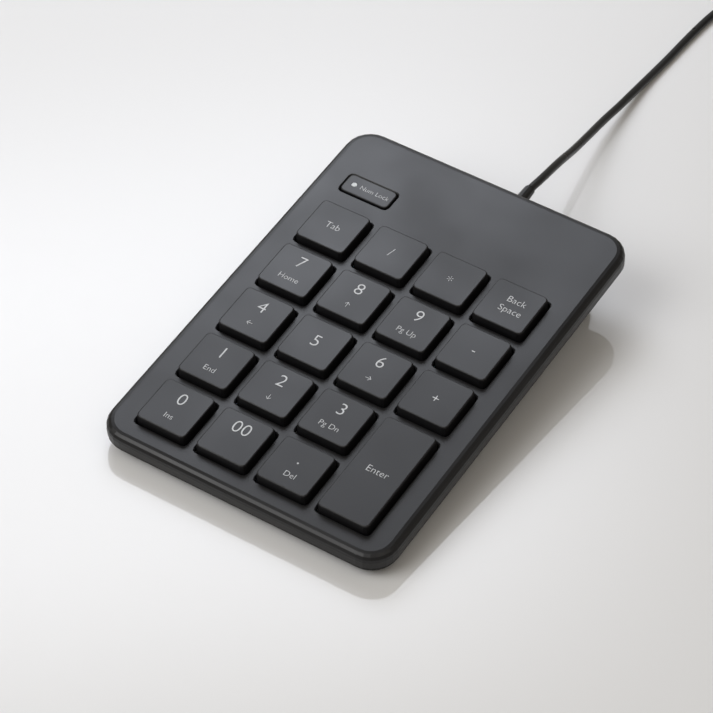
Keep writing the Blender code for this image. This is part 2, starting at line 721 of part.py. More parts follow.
def make_keys():
    meshes = {1: keycap_mesh("keycap", 1), 2: keycap_mesh("double_keycap", 2)}
    for name, x, y, units in key_layout():
        add_part(name, meshes[units], KEY_ABS, location=(x, y, 0))


def make_lock_button():
    """The flush Num Lock button with its lamp window, over a small switch on the board."""
    button = slab(
        "num_lock_button",
        LOCK_WIDTH,
        LOCK_DEPTH,
        LOCK_SKIRT_BOTTOM,
        LOCK_PROUD,
        corner=LOCK_CORNER,
        corner_steps=3,
        top_edge=KEY_EDGE_RADIUS,
    )
    part = add_part("num_lock_button", button, KEY_ABS, location=(LOCK_X, LOCK_CENTRE_Y, 0))
    roof = LOCK_PROUD - KEY_WALL
    inner = (LOCK_WIDTH - 2 * KEY_WALL, LOCK_DEPTH - 2 * KEY_WALL)
    cut(part, "lock_hollow", slab("lock_hollow", *inner, SKIRT_BOTTOM, roof))
    stem_bottom = SWITCH_TOP + 2 * STACK_GAP
    stem = rod("lock_stem", LOCK_DEPTH / 5, stem_bottom, roof + KEY_WALL / 2, sides=12)
    join(part, "lock_stem", stem)
    window = rod(
        "window_hole",
        LED_WINDOW_RADIUS + STACK_GAP,
        SKIRT_BOTTOM,
        LOCK_PROUD + KEY_WALL,
        (LED_OFFSET_X, 0),
        12,
    )
    cut(part, "window_hole", window)
    hooks = []
    for side in (-1, 1):
        place = (side * (LOCK_WIDTH / 2 + (HOOK_LENGTH - KEY_WALL / 2) / 2), 0)
        size = (HOOK_LENGTH + KEY_WALL / 2, HOOK_WIDTH)
        hooks.append(slab("lock_hook", *size, LOCK_SKIRT_BOTTOM, HOOK_TOP, place))
    join(part, "lock_hooks", merged("lock_hooks", hooks))
    pipe = rod("led_window", LED_WINDOW_RADIUS, -DECK_THICKNESS, LOCK_PROUD, sides=12)
    add_part("led_window", pipe, CLEAR_ACRYLIC, location=(LOCK_X + LED_OFFSET_X, LOCK_CENTRE_Y, 0))


# ---------------------------------------------------------------- covers
def screw_places():
    return [(side * SCREW_X, y) for y in (SCREW_FRONT_Y, SCREW_REAR_Y) for side in (-1, 1)]


def clamp_screw_places():
    return [(side * CLAMP_SCREW_X, CLAMP_Y) for side in (-1, 1)]


def deck_openings():
    found = []
    for name, x, y, units in key_layout():
        width = KEY_SKIRT_WIDTH + 2 * KEY_OPENING_CLEARANCE
        depth = KEY_SKIRT_DEPTH + (units - 1) * KEY_PITCH + 2 * KEY_OPENING_CLEARANCE
        found.append(opening(name, width, depth, KEY_CORNER, (x, y)))
    width = LOCK_WIDTH + 2 * KEY_OPENING_CLEARANCE
    depth = LOCK_DEPTH + 2 * KEY_OPENING_CLEARANCE
    found.append(opening("lock", width, depth, LOCK_CORNER, (LOCK_X, LOCK_CENTRE_Y)))
    return merged("deck_openings", found)


def deck_ribs():
    """Ribs between the rows, which stiffen the deck and hold the rubber sheet down."""
    bottom = DOME_SHEET_TOP + SEAT_GAP
    found = []
    left = -SHEET_HALF_WIDTH
    right_of_three = left + (COLUMNS - 1) * KEY_PITCH - ENTER_RIB_GAP
    for row in range(ROWS + 1):
        y = FIELD_FRONT_Y + (row - 0.5) * KEY_PITCH
        right = right_of_three if row == 1 else SHEET_HALF_WIDTH
        size = (right - left, DECK_RIB_THICKNESS)
        found.append(slab("rib", *size, bottom, -DECK_THICKNESS / 2, ((left + right) / 2, y)))
    return merged("deck_ribs", found)


def exit_holes(name):
    """The round hole for the strain relief and the pocket for its flange, half in each cover."""
    inner_wall = CASE_DEPTH / 2 - WALL
    radius = RELIEF_RADIUS + SEAT_GAP
    pocket = RELIEF_FLANGE_RADIUS + SEAT_GAP
    start = inner_wall - RELIEF_FLANGE_THICKNESS - 2 * SEAT_GAP
    outline = (
        (0, CASE_DEPTH / 2 + WALL),
        (radius, CASE_DEPTH / 2 + WALL),
        (radius, inner_wall),
        (pocket, inner_wall),
        (pocket, start),
        (0, start),
    )
    turn = Matrix.Rotation(-math.pi / 2, 4, "X")
    return moved(turned(name, outline, 20), name, (EXIT_X, 0, EXIT_Z), turn)


def make_top_cover():
    shell = slab(
        "top_cover",
        CASE_WIDTH,
        CASE_DEPTH,
        -TOP_HEIGHT,
        0,
        corner=CASE_CORNER,
        corner_steps=6,
        top_edge=TOP_EDGE_RADIUS,
        edge_steps=4,
    )
    part = add_part("top_cover", shell, CHARCOAL_ABS)
    hollow = slab(
        "top_hollow",
        CASE_WIDTH - 2 * WALL,
        CASE_DEPTH - 2 * WALL,
        -TOP_HEIGHT - WALL,
        -DECK_THICKNESS,
        corner=CASE_CORNER - WALL,
        corner_steps=4,
        top_edge=TOP_EDGE_RADIUS / 2,
        edge_steps=1,
    )
    cut(part, "top_hollow", hollow)
    join(part, "deck_ribs", deck_ribs())
    bosses = [
        rod("boss", BOSS_RADIUS, -TOP_HEIGHT, -DECK_THICKNESS / 2, place, 16)
        for place in screw_places()
    ]
    bosses += [
        rod("clamp_boss", BOSS_RADIUS, BOARD_TOP + SEAT_GAP, -DECK_THICKNESS / 2, place, 16)
        for place in clamp_screw_places()
    ]
    join(part, "bosses", merged("bosses", bosses))
    cut(part, "deck_openings", deck_openings())
    pilot_radius = SCREW_SHANK_RADIUS + SCREW_CLEARANCE / 2
    pilots = [
        rod("pilot", pilot_radius, -2 * TOP_HEIGHT, -DECK_THICKNESS * 0.8, place, 10)
        for place in screw_places() + clamp_screw_places()
    ]
    cut(part, "pilots", merged("pilots", pilots))
    cut(part, "top_exit", exit_holes("top_exit"))


def pocket_places():
    return [side * FOOT_X for side in (-1, 1)]


def pocket_block(name, grow, bottom, ceiling):
    """The space a folded foot lies in, grown by a wall's thickness for the block round it."""
    front = pocket_front() - grow
    rear = FOOT_AXIS_Y + FOOT_HUB_RADIUS + FOOT_CLEARANCE + grow
    width = FOOT_WIDTH + 2 * FOOT_CLEARANCE + 2 * grow
    found = []
    for x in pocket_places():
        size = (width, rear - front)
        found.append(slab(name, *size, bottom, ceiling, (x, (front + rear) / 2)))
    return merged(name, found)


def make_bottom_cover():
    tray = slab(
        "bottom_cover",
        CASE_WIDTH,
        CASE_DEPTH,
        UNDERSIDE,
        BOTTOM_TOP,
        corner=CASE_CORNER,
        corner_steps=6,
        bottom_edge=BOTTOM_EDGE_RADIUS,
        edge_steps=3,
    )
    part = add_part("bottom_cover", tray, CHARCOAL_ABS)
    hollow = slab(
        "bottom_hollow",
        CASE_WIDTH - 2 * WALL,
        CASE_DEPTH - 2 * WALL,
        INNER_FLOOR,
        0,
        corner=CASE_CORNER - WALL,
        corner_steps=4,
        bottom_edge=BOTTOM_EDGE_RADIUS - FLOOR_THICKNESS,
        edge_steps=2,
    )
    cut(part, "bottom_hollow", hollow)
    join(part, "lip", lip_mesh())
    block_top = POCKET_CEILING + POCKET_WALL
    blocks = pocket_block("pockets", POCKET_WALL, UNDERSIDE + SEAT_GAP, block_top)
    join(part, "pockets", blocks)
    posts = [
        rod("post", POST_RADIUS, UNDERSIDE + SEAT_GAP, -TOP_HEIGHT - SEAT_GAP, place, 20)
        for place in screw_places()
    ]
    join(part, "posts", merged("posts", posts))
    join(part, "floor_ribs", floor_ribs())
    cut(part, "foot_pockets", pocket_block("foot_pockets", 0, UNDERSIDE - WALL, POCKET_CEILING))
    cut(part, "pin_holes", pin_holes())
    cut(part, "screw_holes", screw_holes())
    cut(part, "pad_recesses", pad_recesses())
    cut(part, "finger_scoops", finger_scoops())
    cut(part, "label_recess", label_recess())
    cut(part, "bottom_exit", exit_holes("bottom_exit"))


def pocket_front():
    return FOOT_AXIS_Y - FOOT_LENGTH - FOOT_PAD_HEIGHT - FOOT_CLEARANCE


def finger_scoops():
    """A shallow scoop at the tip of each folded foot, so that a fingertip can lift it."""
    place = (pocket_front(), UNDERSIDE + SCOOP_DEPTH - SCOOP_RADIUS)
    half = SCOOP_WIDTH / 2
    found = [rod("scoop", SCOOP_RADIUS, x - half, x + half, place, 24, "X") for x in pocket_places()]
    return merged("finger_scoops", found)


def label_recess():
    """The shallow place for the rating label, under the middle of the case."""
    size = (LABEL_WIDTH, LABEL_DEPTH)
    top = UNDERSIDE + LABEL_SINK
    return slab("label_recess", *size, UNDERSIDE - WALL, top, (0, 0), LABEL_CORNER, 2)


def lip_mesh():
    """The tongue that stands up inside the top cover's wall, round the whole parting line."""
    inset = WALL + LIP_CLEARANCE
    outer = (CASE_WIDTH - 2 * inset, CASE_DEPTH - 2 * inset)
    inner = (outer[0] - 2 * LIP_THICKNESS, outer[1] - 2 * LIP_THICKNESS)
    top = BOTTOM_TOP + LIP_HEIGHT
    low = BOTTOM_TOP - BOTTOM_EDGE_RADIUS / 4
    corner = CASE_CORNER - inset
    ring = add_tool("lip_ring", slab("lip_ring", *outer, low, top, (0, 0), corner, 6), None)
    core_corner = corner - LIP_THICKNESS
    core = slab("lip_core", *inner, low - WALL, top + WALL, (0, 0), core_corner, 6)
    cut(ring, "lip_core", core)
    return baked_mesh(ring, "lip")


def floor_ribs():
    """Low ribs on the tray's floor that the steel plate rests on."""
    top = BACKPLATE_BOTTOM - SEAT_GAP
    width = 2 * SHEET_HALF_WIDTH
    found = []
    for row in range(ROWS):
        y = FIELD_FRONT_Y + row * KEY_PITCH
        found.append(slab("floor_rib", width, POCKET_WALL, INNER_FLOOR - SEAT_GAP, top, (0, y)))
    return merged("floor_ribs", found)


def pin_holes():
    """Sockets in the pocket walls that the pins of the fold-out feet turn in."""
    half = FOOT_WIDTH / 2 + FOOT_PIN_LENGTH + 2 * FOOT_CLEARANCE
    radius = FOOT_PIN_RADIUS + SEAT_GAP / 2
    place = (FOOT_AXIS_Y, FOOT_AXIS_Z)
    found = [rod("pin_hole", radius, x - half, x + half, place, 12, "X") for x in pocket_places()]
    return merged("pin_holes", found)


def screw_holes():
    """Counterbores from below with a clearance hole through each post."""
    found = []
    seat = UNDERSIDE + SCREW_HEAD_HEIGHT + 2 * SEAT_GAP
    shank = SCREW_SHANK_RADIUS + SCREW_CLEARANCE
    head = SCREW_HEAD_RADIUS + SCREW_CLEARANCE
    bottom = UNDERSIDE - WALL
    outline = ((0, 0), (shank, 0), (shank, seat), (head, seat), (head, bottom), (0, bottom))
    bore = turned("screw_bore", outline, 12)
    for x, y in screw_places():
        found.append(moved(bore, "screw_hole", (x, y, 0)))
    return merged("screw_holes", found)


def pad_places():
    front_x = CASE_WIDTH / 2 - PAD_FRONT_FROM_SIDE
    rear_x = CASE_WIDTH / 2 - PAD_REAR_FROM_SIDE
    front = [(side * front_x, PAD_FRONT_Y) for side in (-1, 1)]
    rear = [(side * rear_x, PAD_REAR_Y) for side in (-1, 1)]
    return front + rear


def pad_shape(name, grow, bottom, top, centre):
    size = (PAD_WIDTH + 2 * grow, PAD_DEPTH + 2 * grow)
    corner = PAD_DEPTH / 2 * 0.98 + grow
    return slab(name, *size, bottom, top, centre, corner, 4)


def pad_recesses():
    low, high = UNDERSIDE - WALL, UNDERSIDE + PAD_RECESS
    found = [pad_shape("recess", STACK_GAP, low, high, place) for place in pad_places()]
    return merged("pad_recesses", found)


def make_rubber_feet():
    names = ("front_left", "front_right", "rear_left", "rear_right")
    for name, (x, y) in zip(names, pad_places()):
        top = UNDERSIDE + PAD_RECESS - SEAT_GAP
        pad = pad_shape("rubber_foot_" + name, 0, PAD_BOTTOM, top, (0, 0))
        add_part("rubber_foot_" + name, pad, RUBBER, location=(x, y, 0))


def make_screws():
    outline = (
        (0, -TOP_HEIGHT / 2),
        (SCREW_SHANK_RADIUS, -TOP_HEIGHT / 2),
        (SCREW_SHANK_RADIUS, UNDERSIDE + SCREW_HEAD_HEIGHT + SEAT_GAP),
        (SCREW_HEAD_RADIUS, UNDERSIDE + SCREW_HEAD_HEIGHT + SEAT_GAP),
        (SCREW_HEAD_RADIUS * 0.92, UNDERSIDE + SEAT_GAP),
        (0, UNDERSIDE + SEAT_GAP),
    )
    mesh = turned("case_screw", outline, 10)
    names = ("front_left", "front_right", "rear_left", "rear_right")
    for name, (x, y) in zip(names, screw_places()):
        part = add_part("case_screw_" + name, mesh.copy(), STEEL, location=(x, y, 0))
        cut(part, "drive_" + name, cross_recess(UNDERSIDE + SEAT_GAP))


def cross_recess(face):
    """The cross-shaped socket in a screw head."""
    low, high = face - DRIVE_DEPTH, face + DRIVE_DEPTH
    first = slab("blade", DRIVE_SIZE, DRIVE_BLADE, low, high)
    second = slab("blade", DRIVE_BLADE, DRIVE_SIZE, low, high)
    tool = add_tool("cross", first, None)
    join(tool, "cross_arm", second)
    return baked_mesh(tool, "cross_recess")


# ---------------------------------------------------------------- contact stack
def sheet(name, top, thickness):
    depth = STACK_REAR_Y - STACK_FRONT_Y
    middle = (STACK_REAR_Y + STACK_FRONT_Y) / 2
    size = (2 * SHEET_HALF_WIDTH, depth)
    return slab(name, *size, top - thickness, top, (0, middle), SHEET_CORNER, 3)


def contact_places():
    return [(x, y) for name, x, y, units in key_layout()]


def make_dome_sheet():
    """The moulded rubber sheet: one hollow dome under every key."""
    sheet_mesh = sheet("dome_sheet", DOME_SHEET_TOP, DOME_SHEET_THICKNESS)
    part = add_part("dome_sheet", sheet_mesh, SILICONE)
    base = DOME_SHEET_BOTTOM
    cap_foot = DOME_TOP - DOME_BASE_STEP
    outer = (
        (0, base + SEAT_GAP / 2),
        (DOME_BASE_RADIUS, base + SEAT_GAP / 2),
        (DOME_BASE_RADIUS, DOME_SHEET_TOP + STACK_GAP),
        (DOME_CAP_RADIUS, cap_foot),
        (DOME_CAP_RADIUS, DOME_TOP),
        (0, DOME_TOP),
    )
    roof = cap_foot - DOME_WALL / 2
    inner = (
        (0, base - DOME_WALL),
        (DOME_BASE_RADIUS - DOME_WALL, base - DOME_WALL),
        (DOME_BASE_RADIUS - DOME_WALL, DOME_SHEET_TOP - DOME_WALL / 2),
        (DOME_CAP_RADIUS - DOME_WALL, roof),
        (DOME_CAP_RADIUS / 2, roof),
        (DOME_CAP_RADIUS / 2, roof - DOME_PLUNGER),
        (0, roof - DOME_PLUNGER),
    )
    dome = turned("dome", outer[::-1], HIDDEN_SIDES)
    hollow = turned("dome_hollow", inner[::-1], HIDDEN_SIDES)
    domes = [moved(dome, "dome", (x, y, 0)) for x, y in contact_places()]
    hollows = [moved(hollow, "dome_hollow", (x, y, 0)) for x, y in contact_places()]
    join(part, "domes", merged("domes", domes))
    cut(part, "dome_hollows", merged("dome_hollows", hollows))


def make_membranes():
    """Two printed films with a holed spacer between them, and the tail that runs to the board."""
    add_part("membrane_upper", sheet("membrane_upper", UPPER_TOP, MEMBRANE_THICKNESS), POLYESTER)
    spacer = sheet("membrane_spacer", SPACER_TOP, MEMBRANE_THICKNESS)
    part = add_part("membrane_spacer", spacer, POLYESTER)
    bottom = SPACER_TOP - 2 * MEMBRANE_THICKNESS
    top = SPACER_TOP + MEMBRANE_THICKNESS
    holes = [
        rod("contact", CONTACT_HOLE_RADIUS, bottom, top, place, HIDDEN_SIDES)
        for place in contact_places()
    ]
    cut(part, "contact_holes", merged("contact_holes", holes))
    lower = sheet("membrane_lower", LOWER_TOP, MEMBRANE_THICKNESS)
    part = add_part("membrane_lower", lower, POLYESTER)
    level = LOWER_TOP - MEMBRANE_THICKNESS / 2
    raised = BOARD_BOTTOM - SEAT_GAP
    path = (
        (STACK_REAR_Y - TAIL_OVERLAP, level),
        (STACK_REAR_Y + TAIL_FLAT, level),
        (CLAMP_Y - CLAMP_DEPTH / 2, raised),
        (CLAMP_Y + TAIL_PAST_CLAMP, raised),
    )
    join(part, "tail", strip("tail", path, TAIL_WIDTH, MEMBRANE_THICKNESS * 0.96))


def make_backplate():
    """The thin steel plate under the films, with holes that lighten it."""
    plate = sheet("backplate", BACKPLATE_TOP, BACKPLATE_THICKNESS)
    part = add_part("backplate", plate, STEEL)
    holes = []
    for row in range(ROWS - 1):
        for column in range(COLUMNS - 1):
            x = (column - (COLUMNS - 2) / 2) * KEY_PITCH
            y = FIELD_FRONT_Y + (row + 0.5) * KEY_PITCH
            low = BACKPLATE_BOTTOM - BACKPLATE_THICKNESS
            high = BACKPLATE_TOP + BACKPLATE_THICKNESS
            holes.append(rod("plate_hole", BACKPLATE_HOLE_RADIUS, low, high, (x, y), HIDDEN_SIDES))
    cut(part, "plate_holes", merged("plate_holes", holes))


# ---------------------------------------------------------------- electronics
def make_board():
    size = (BOARD_RIGHT_X - BOARD_LEFT_X, BOARD_REAR_Y - BOARD_FRONT_Y)
    centre = ((BOARD_RIGHT_X + BOARD_LEFT_X) / 2, (BOARD_REAR_Y + BOARD_FRONT_Y) / 2)
    board = slab("controller_board", *size, BOARD_BOTTOM, BOARD_TOP, centre, BOARD_CORNER, 2)
    part = add_part("controller_board", board, BOARD_GREEN)
    radius = SCREW_SHANK_RADIUS + SCREW_CLEARANCE
    holes = [
        rod("hole", radius, BOARD_BOTTOM - WALL, BOARD_TOP + WALL, place, 12)
        for place in clamp_screw_places()
    ]
    cut(part, "board_holes", merged("board_holes", holes))


def make_board_parts():
    """The glob-topped chip, lock switch, lamp and lead socket that are soldered on the board."""
    foot = BOARD_FOOT
    top = foot + CHIP_HEIGHT
    chip = rod("controller_chip", CHIP_RADIUS, foot, top, sides=20, end_radius=CHIP_CROWN_RADIUS)
    place = (CHIP_X, FIELD_REAR_EDGE + CHIP_BEHIND_FIELD, 0)
    add_part("controller_chip", chip, EPOXY, location=place)
    top = foot + SWITCH_BODY_HEIGHT
    switch = slab(
        "num_lock_switch", SWITCH_SIDE, SWITCH_SIDE, foot, top, (0, 0), SMALL_CORNER, 1
    )
    part = add_part("num_lock_switch", switch, EPOXY, location=(LOCK_X, LOCK_CENTRE_Y, 0))
    low = foot + SWITCH_BODY_HEIGHT / 2
    join(part, "switch_top", rod("switch_top", SWITCH_BUTTON_RADIUS, low, SWITCH_TOP, sides=12))
    top = foot + LED_HEIGHT
    led = slab("status_led", LED_WIDTH, LED_DEPTH, foot, top, (0, 0), SMALL_CORNER, 1)
    add_part("status_led", led, LED_RESIN, location=(LOCK_X + LED_OFFSET_X, LOCK_CENTRE_Y, 0))
    socket = slab("lead_socket", SOCKET_WIDTH, SOCKET_DEPTH, foot, foot + SOCKET_HEIGHT)
    add_part("lead_socket", socket, TONGUE_WHITE, location=(EXIT_X, SOCKET_Y, 0))


def make_clamp():
    """The bar that presses the film's tail up against the board, and its two screws."""
    tail_bottom = BOARD_BOTTOM - SEAT_GAP - MEMBRANE_THICKNESS / 2
    top = tail_bottom - STACK_GAP
    bottom = top - CLAMP_THICKNESS
    width = 2 * CLAMP_SCREW_X + 2 * BOSS_RADIUS
    bar = slab("tail_clamp", width, CLAMP_DEPTH, bottom, top, (0, 0), CLAMP_CORNER, 3)
    part = add_part("tail_clamp", bar, BLACK_ABS, location=(0, CLAMP_Y, 0))
    radius = SCREW_SHANK_RADIUS + SCREW_CLEARANCE / 2
    holes = [
        rod("hole", radius, bottom - WALL, top + WALL, (side * CLAMP_SCREW_X, 0), 12)
        for side in (-1, 1)
    ]
    cut(part, "clamp_holes", merged("clamp_holes", holes))
    head_top = bottom - STACK_GAP
    outline = (
        (0, -DECK_THICKNESS - SEAT_GAP),
        (SCREW_SHANK_RADIUS, -DECK_THICKNESS - SEAT_GAP),
        (SCREW_SHANK_RADIUS, head_top),
        (SCREW_HEAD_RADIUS, head_top),
        (SCREW_HEAD_RADIUS * 0.85, head_top - CLAMP_HEAD_HEIGHT),
        (0, head_top - CLAMP_HEAD_HEIGHT),
    )
    mesh = turned("clamp_screw", outline, 10)
    for name, side in (("left", -1), ("right", 1)):
        add_part("clamp_screw_" + name, mesh, STEEL, location=(side * CLAMP_SCREW_X, CLAMP_Y, 0))


# ---------------------------------------------------------------- fold-out feet
def make_tilt_feet():
    """Each foot turns on two pins, stands square to the underside and folds forward."""
    for name, x in zip(("left", "right"), pocket_places()):
        leg = slab("leg", FOOT_WIDTH, FOOT_THICKNESS, -FOOT_LENGTH, 0)
        place = (x, FOOT_AXIS_Y, FOOT_AXIS_Z)
        part = add_part("tilt_foot_" + name, leg, CHARCOAL_ABS, location=place)
        half = FOOT_WIDTH / 2
        hub = rod("hub", FOOT_HUB_RADIUS, -half, half, sides=16, along="X")
        join(part, "hub_" + name, hub)
        reach = half + FOOT_PIN_LENGTH + FOOT_CLEARANCE / 2
        pins = rod("pins", FOOT_PIN_RADIUS, -reach, reach, sides=12, along="X")
        join(part, "pins_" + name, pins)
        size = (FOOT_WIDTH - 2 * FOOT_WINDOW_BAR, 2 * FOOT_THICKNESS)
        low, high = FOOT_WINDOW_ABOVE_TIP - FOOT_LENGTH, -FOOT_WINDOW_START
        cut(part, "window_" + name, slab("window", *size, low, high))
        tip_width = FOOT_WIDTH - 2 * FOOT_PAD_SHOULDER
        low, high = -FOOT_LENGTH - FOOT_THICKNESS, FOOT_PAD_SINK - FOOT_LENGTH
        groove = slab("groove", tip_width, 2 * FOOT_THICKNESS, low, high)
        cut(part, "groove_" + name, groove)
        make_tilt_pad("tilt_pad_" + name, tip_width, place)


def make_tilt_pad(name, tip_width, place):
    """The rubber strip in the foot's tip, cut level with the desk."""
    top = FOOT_PAD_SINK - FOOT_LENGTH - STACK_GAP
    low = top - FOOT_PAD_HEIGHT + STACK_GAP
    pad = slab(name, tip_width - 2 * STACK_GAP, FOOT_THICKNESS, low, top)
    for vert in pad.vertices:
        if vert.co.z < top - STACK_GAP:
            vert.co.z = -(FOOT_AXIS_HEIGHT + vert.co.y * math.sin(TILT)) / math.cos(TILT)
    add_part(name, pad, RUBBER, location=place)


# ---------------------------------------------------------------- cable
def make_strain_relief():
    """A flanged sleeve held between the covers, tapered towards the cable."""
    inner_wall = CASE_DEPTH / 2 - WALL
    outline = (
        (RELIEF_BORE, inner_wall - SEAT_GAP - RELIEF_FLANGE_THICKNESS),
        (RELIEF_FLANGE_RADIUS, inner_wall - SEAT_GAP - RELIEF_FLANGE_THICKNESS),
        (RELIEF_FLANGE_RADIUS, inner_wall - SEAT_GAP),
        (RELIEF_RADIUS, inner_wall - SEAT_GAP),
        (RELIEF_RADIUS, CASE_DEPTH / 2 + RELIEF_STRAIGHT),
        (RELIEF_TIP_RADIUS, CASE_DEPTH / 2 + RELIEF_LENGTH),
        (RELIEF_BORE, CASE_DEPTH / 2 + RELIEF_LENGTH),
    )
    sleeve = turned("strain_relief", outline, 12)
    turn = Matrix.Rotation(-math.pi / 2, 4, "X")
    mesh = moved(sleeve, "strain_relief", (EXIT_X, 0, EXIT_Z), turn)
    add_part("strain_relief", mesh, PVC)


def make_leads():
    """The stripped leads inside, from the strain relief to the socket on the board."""
    start = CASE_DEPTH / 2 - WALL - RELIEF_FLANGE_THICKNESS - 2 * SEAT_GAP
    end = SOCKET_Y + SOCKET_DEPTH / 2 + SEAT_GAP
    socket_middle = BOARD_FOOT + SOCKET_HEIGHT / 2
    above_board = socket_middle + SEAT_GAP / 2
    route = (
        (EXIT_X, start, EXIT_Z),
        (EXIT_X, start - LEAD_STEP, EXIT_Z + LEAD_RADIUS),
        (EXIT_X, start - 2 * LEAD_STEP, above_board),
        (EXIT_X, end, above_board),
    )
    tube("inner_leads", smooth_route(route, LEAD_STEP), LEAD_RADIUS, PVC, KEYPAD_AXES)


def make_cable():
    spacing = 2.5 * CABLE_DIAMETER
    tube("cable", smooth_route(CABLE_ROUTE, spacing), CABLE_DIAMETER / 2, PVC)
    tube("cable_end", smooth_route(CABLE_END_ROUTE, spacing), CABLE_DIAMETER / 2, PVC)
    inner = COIL_MEAN_DIAMETER / 2 - COIL_SECTION / 2
    outer = COIL_MEAN_DIAMETER / 2 + COIL_SECTION / 2
    soft = COIL_SECTION / 5
    outline = (
        (inner, soft),
        (inner, COIL_SECTION - soft),
        (inner + soft, COIL_SECTION),
        (outer - soft, COIL_SECTION),
        (outer, COIL_SECTION - soft),
        (outer, soft),
        (outer - soft, 0),
        (inner + soft, 0),
    )
    ring = turned("cable_coil", outline, 24)
    add_part("cable_coil", ring, PVC, None, (*COIL_CENTRE, COIL_LIFT))
    add_part("cable_tie", tie_mesh(), BLACK_ABS, None, (*COIL_CENTRE, 0))


def tie_mesh():
    """A flat band wrapped round the bundle of turns on the far side of the coil."""
    hole = COIL_SECTION + 2 * SEAT_GAP
    side = hole + 2 * TIE_THICKNESS
    middle = COIL_LIFT + COIL_SECTION / 2
    centre = (0, COIL_MEAN_DIAMETER / 2)
    band = slab("band", TIE_WIDTH, side, middle - side / 2, middle + side / 2, centre)
    tool = add_tool("band", band, None)
    through = slab("band_hole", 2 * TIE_WIDTH, hole, middle - hole / 2, middle + hole / 2, centre)
    cut(tool, "band_hole", through)
    return baked_mesh(tool, "cable_tie")


def make_plug():
    """USB plug: moulded grip with its tapered neck, steel shell and contact tongue."""
    level = PLUG_THICKNESS / 2
    rear = PLUG_NECK_END_Y - PLUG_NECK_LENGTH
    front = rear - PLUG_LENGTH
    place = (PLUG_CENTRE_X, 0, 0)
    grip = slab(
        "plug_grip",
        PLUG_WIDTH,
        PLUG_LENGTH,
        0,
        PLUG_THICKNESS,
        (0, (front + rear) / 2),
        corner=PLUG_CORNER,
        corner_steps=3,
        top_edge=PLUG_EDGE_RADIUS,
        bottom_edge=PLUG_EDGE_RADIUS,
    )
    part = add_part("plug_grip", grip, BLACK_ABS, None, place)
    tip_radius = CABLE_DIAMETER / 2 + NECK_WALL
    start = rear - NECK_SINK
    neck = rod("neck", NECK_RADIUS, start, PLUG_NECK_END_Y, (0, level), 16, "Y", tip_radius)
    join(part, "plug_neck", neck)
    tip = front - SEAT_GAP - SHELL_LENGTH
    half = SHELL_THICKNESS / 2
    middle = (0, front - SEAT_GAP - SHELL_LENGTH / 2)
    shell = slab("plug_shell", SHELL_WIDTH, SHELL_LENGTH, level - half, level + half, middle)
    part = add_part("plug_shell", shell, NICKEL, None, place)
    inner = (SHELL_WIDTH - 2 * SHELL_WALL, SHELL_LENGTH - SHELL_WALL)
    inner_half = half - SHELL_WALL
    open_end = (0, middle[1] - SHELL_WALL)
    low, high = level - inner_half, level + inner_half
    cut(part, "shell_hollow", slab("shell_hollow", *inner, low, high, open_end))
    size = (SHELL_WINDOW_WIDTH, SHELL_WINDOW_LENGTH)
    low, high = level - PLUG_THICKNESS, level + PLUG_THICKNESS
    windows = [
        slab("window", *size, low, high, (side * SHELL_WINDOW_X, tip + SHELL_WINDOW_FROM_TIP))
        for side in (-1, 1)
    ]
    cut(part, "shell_windows", merged("shell_windows", windows))
    base = level - inner_half + SEAT_GAP / 2
    tongue_width = SHELL_WIDTH - 2 * SHELL_WALL - SEAT_GAP
    length = SHELL_LENGTH - TONGUE_SHORTER
    middle = (0, tip + TONGUE_FROM_TIP + length / 2)
    top = base + TONGUE_THICKNESS
    tongue = slab("plug_tongue", tongue_width, length, base, top, middle)
    add_part("plug_tongue", tongue, TONGUE_WHITE, None, place)


make_top_cover()
make_bottom_cover()
make_keys()
make_lock_button()
make_dome_sheet()
make_membranes()
make_backplate()
make_board()
make_board_parts()
make_clamp()
make_screws()
make_rubber_feet()
make_tilt_feet()
make_strain_relief()
make_leads()
make_cable()
make_plug()
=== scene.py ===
# %% [markdown]
# # A wired numeric keypad on its fold-out feet
#
# The imported CAD model is the fixed frame, and the pieces below take their places from its boxes
# and its joints. The camera, the tray's outlines, the legends' places and the lights are given as
# numbers. The camera and the cord come first, because they decide how much room the whole model
# takes. Finishes, the pieces that replace CAD nodes, key legends and the light follow.

# %% Load the frame
import json
import math

import bmesh
import bpy
from mathutils import Matrix, Vector


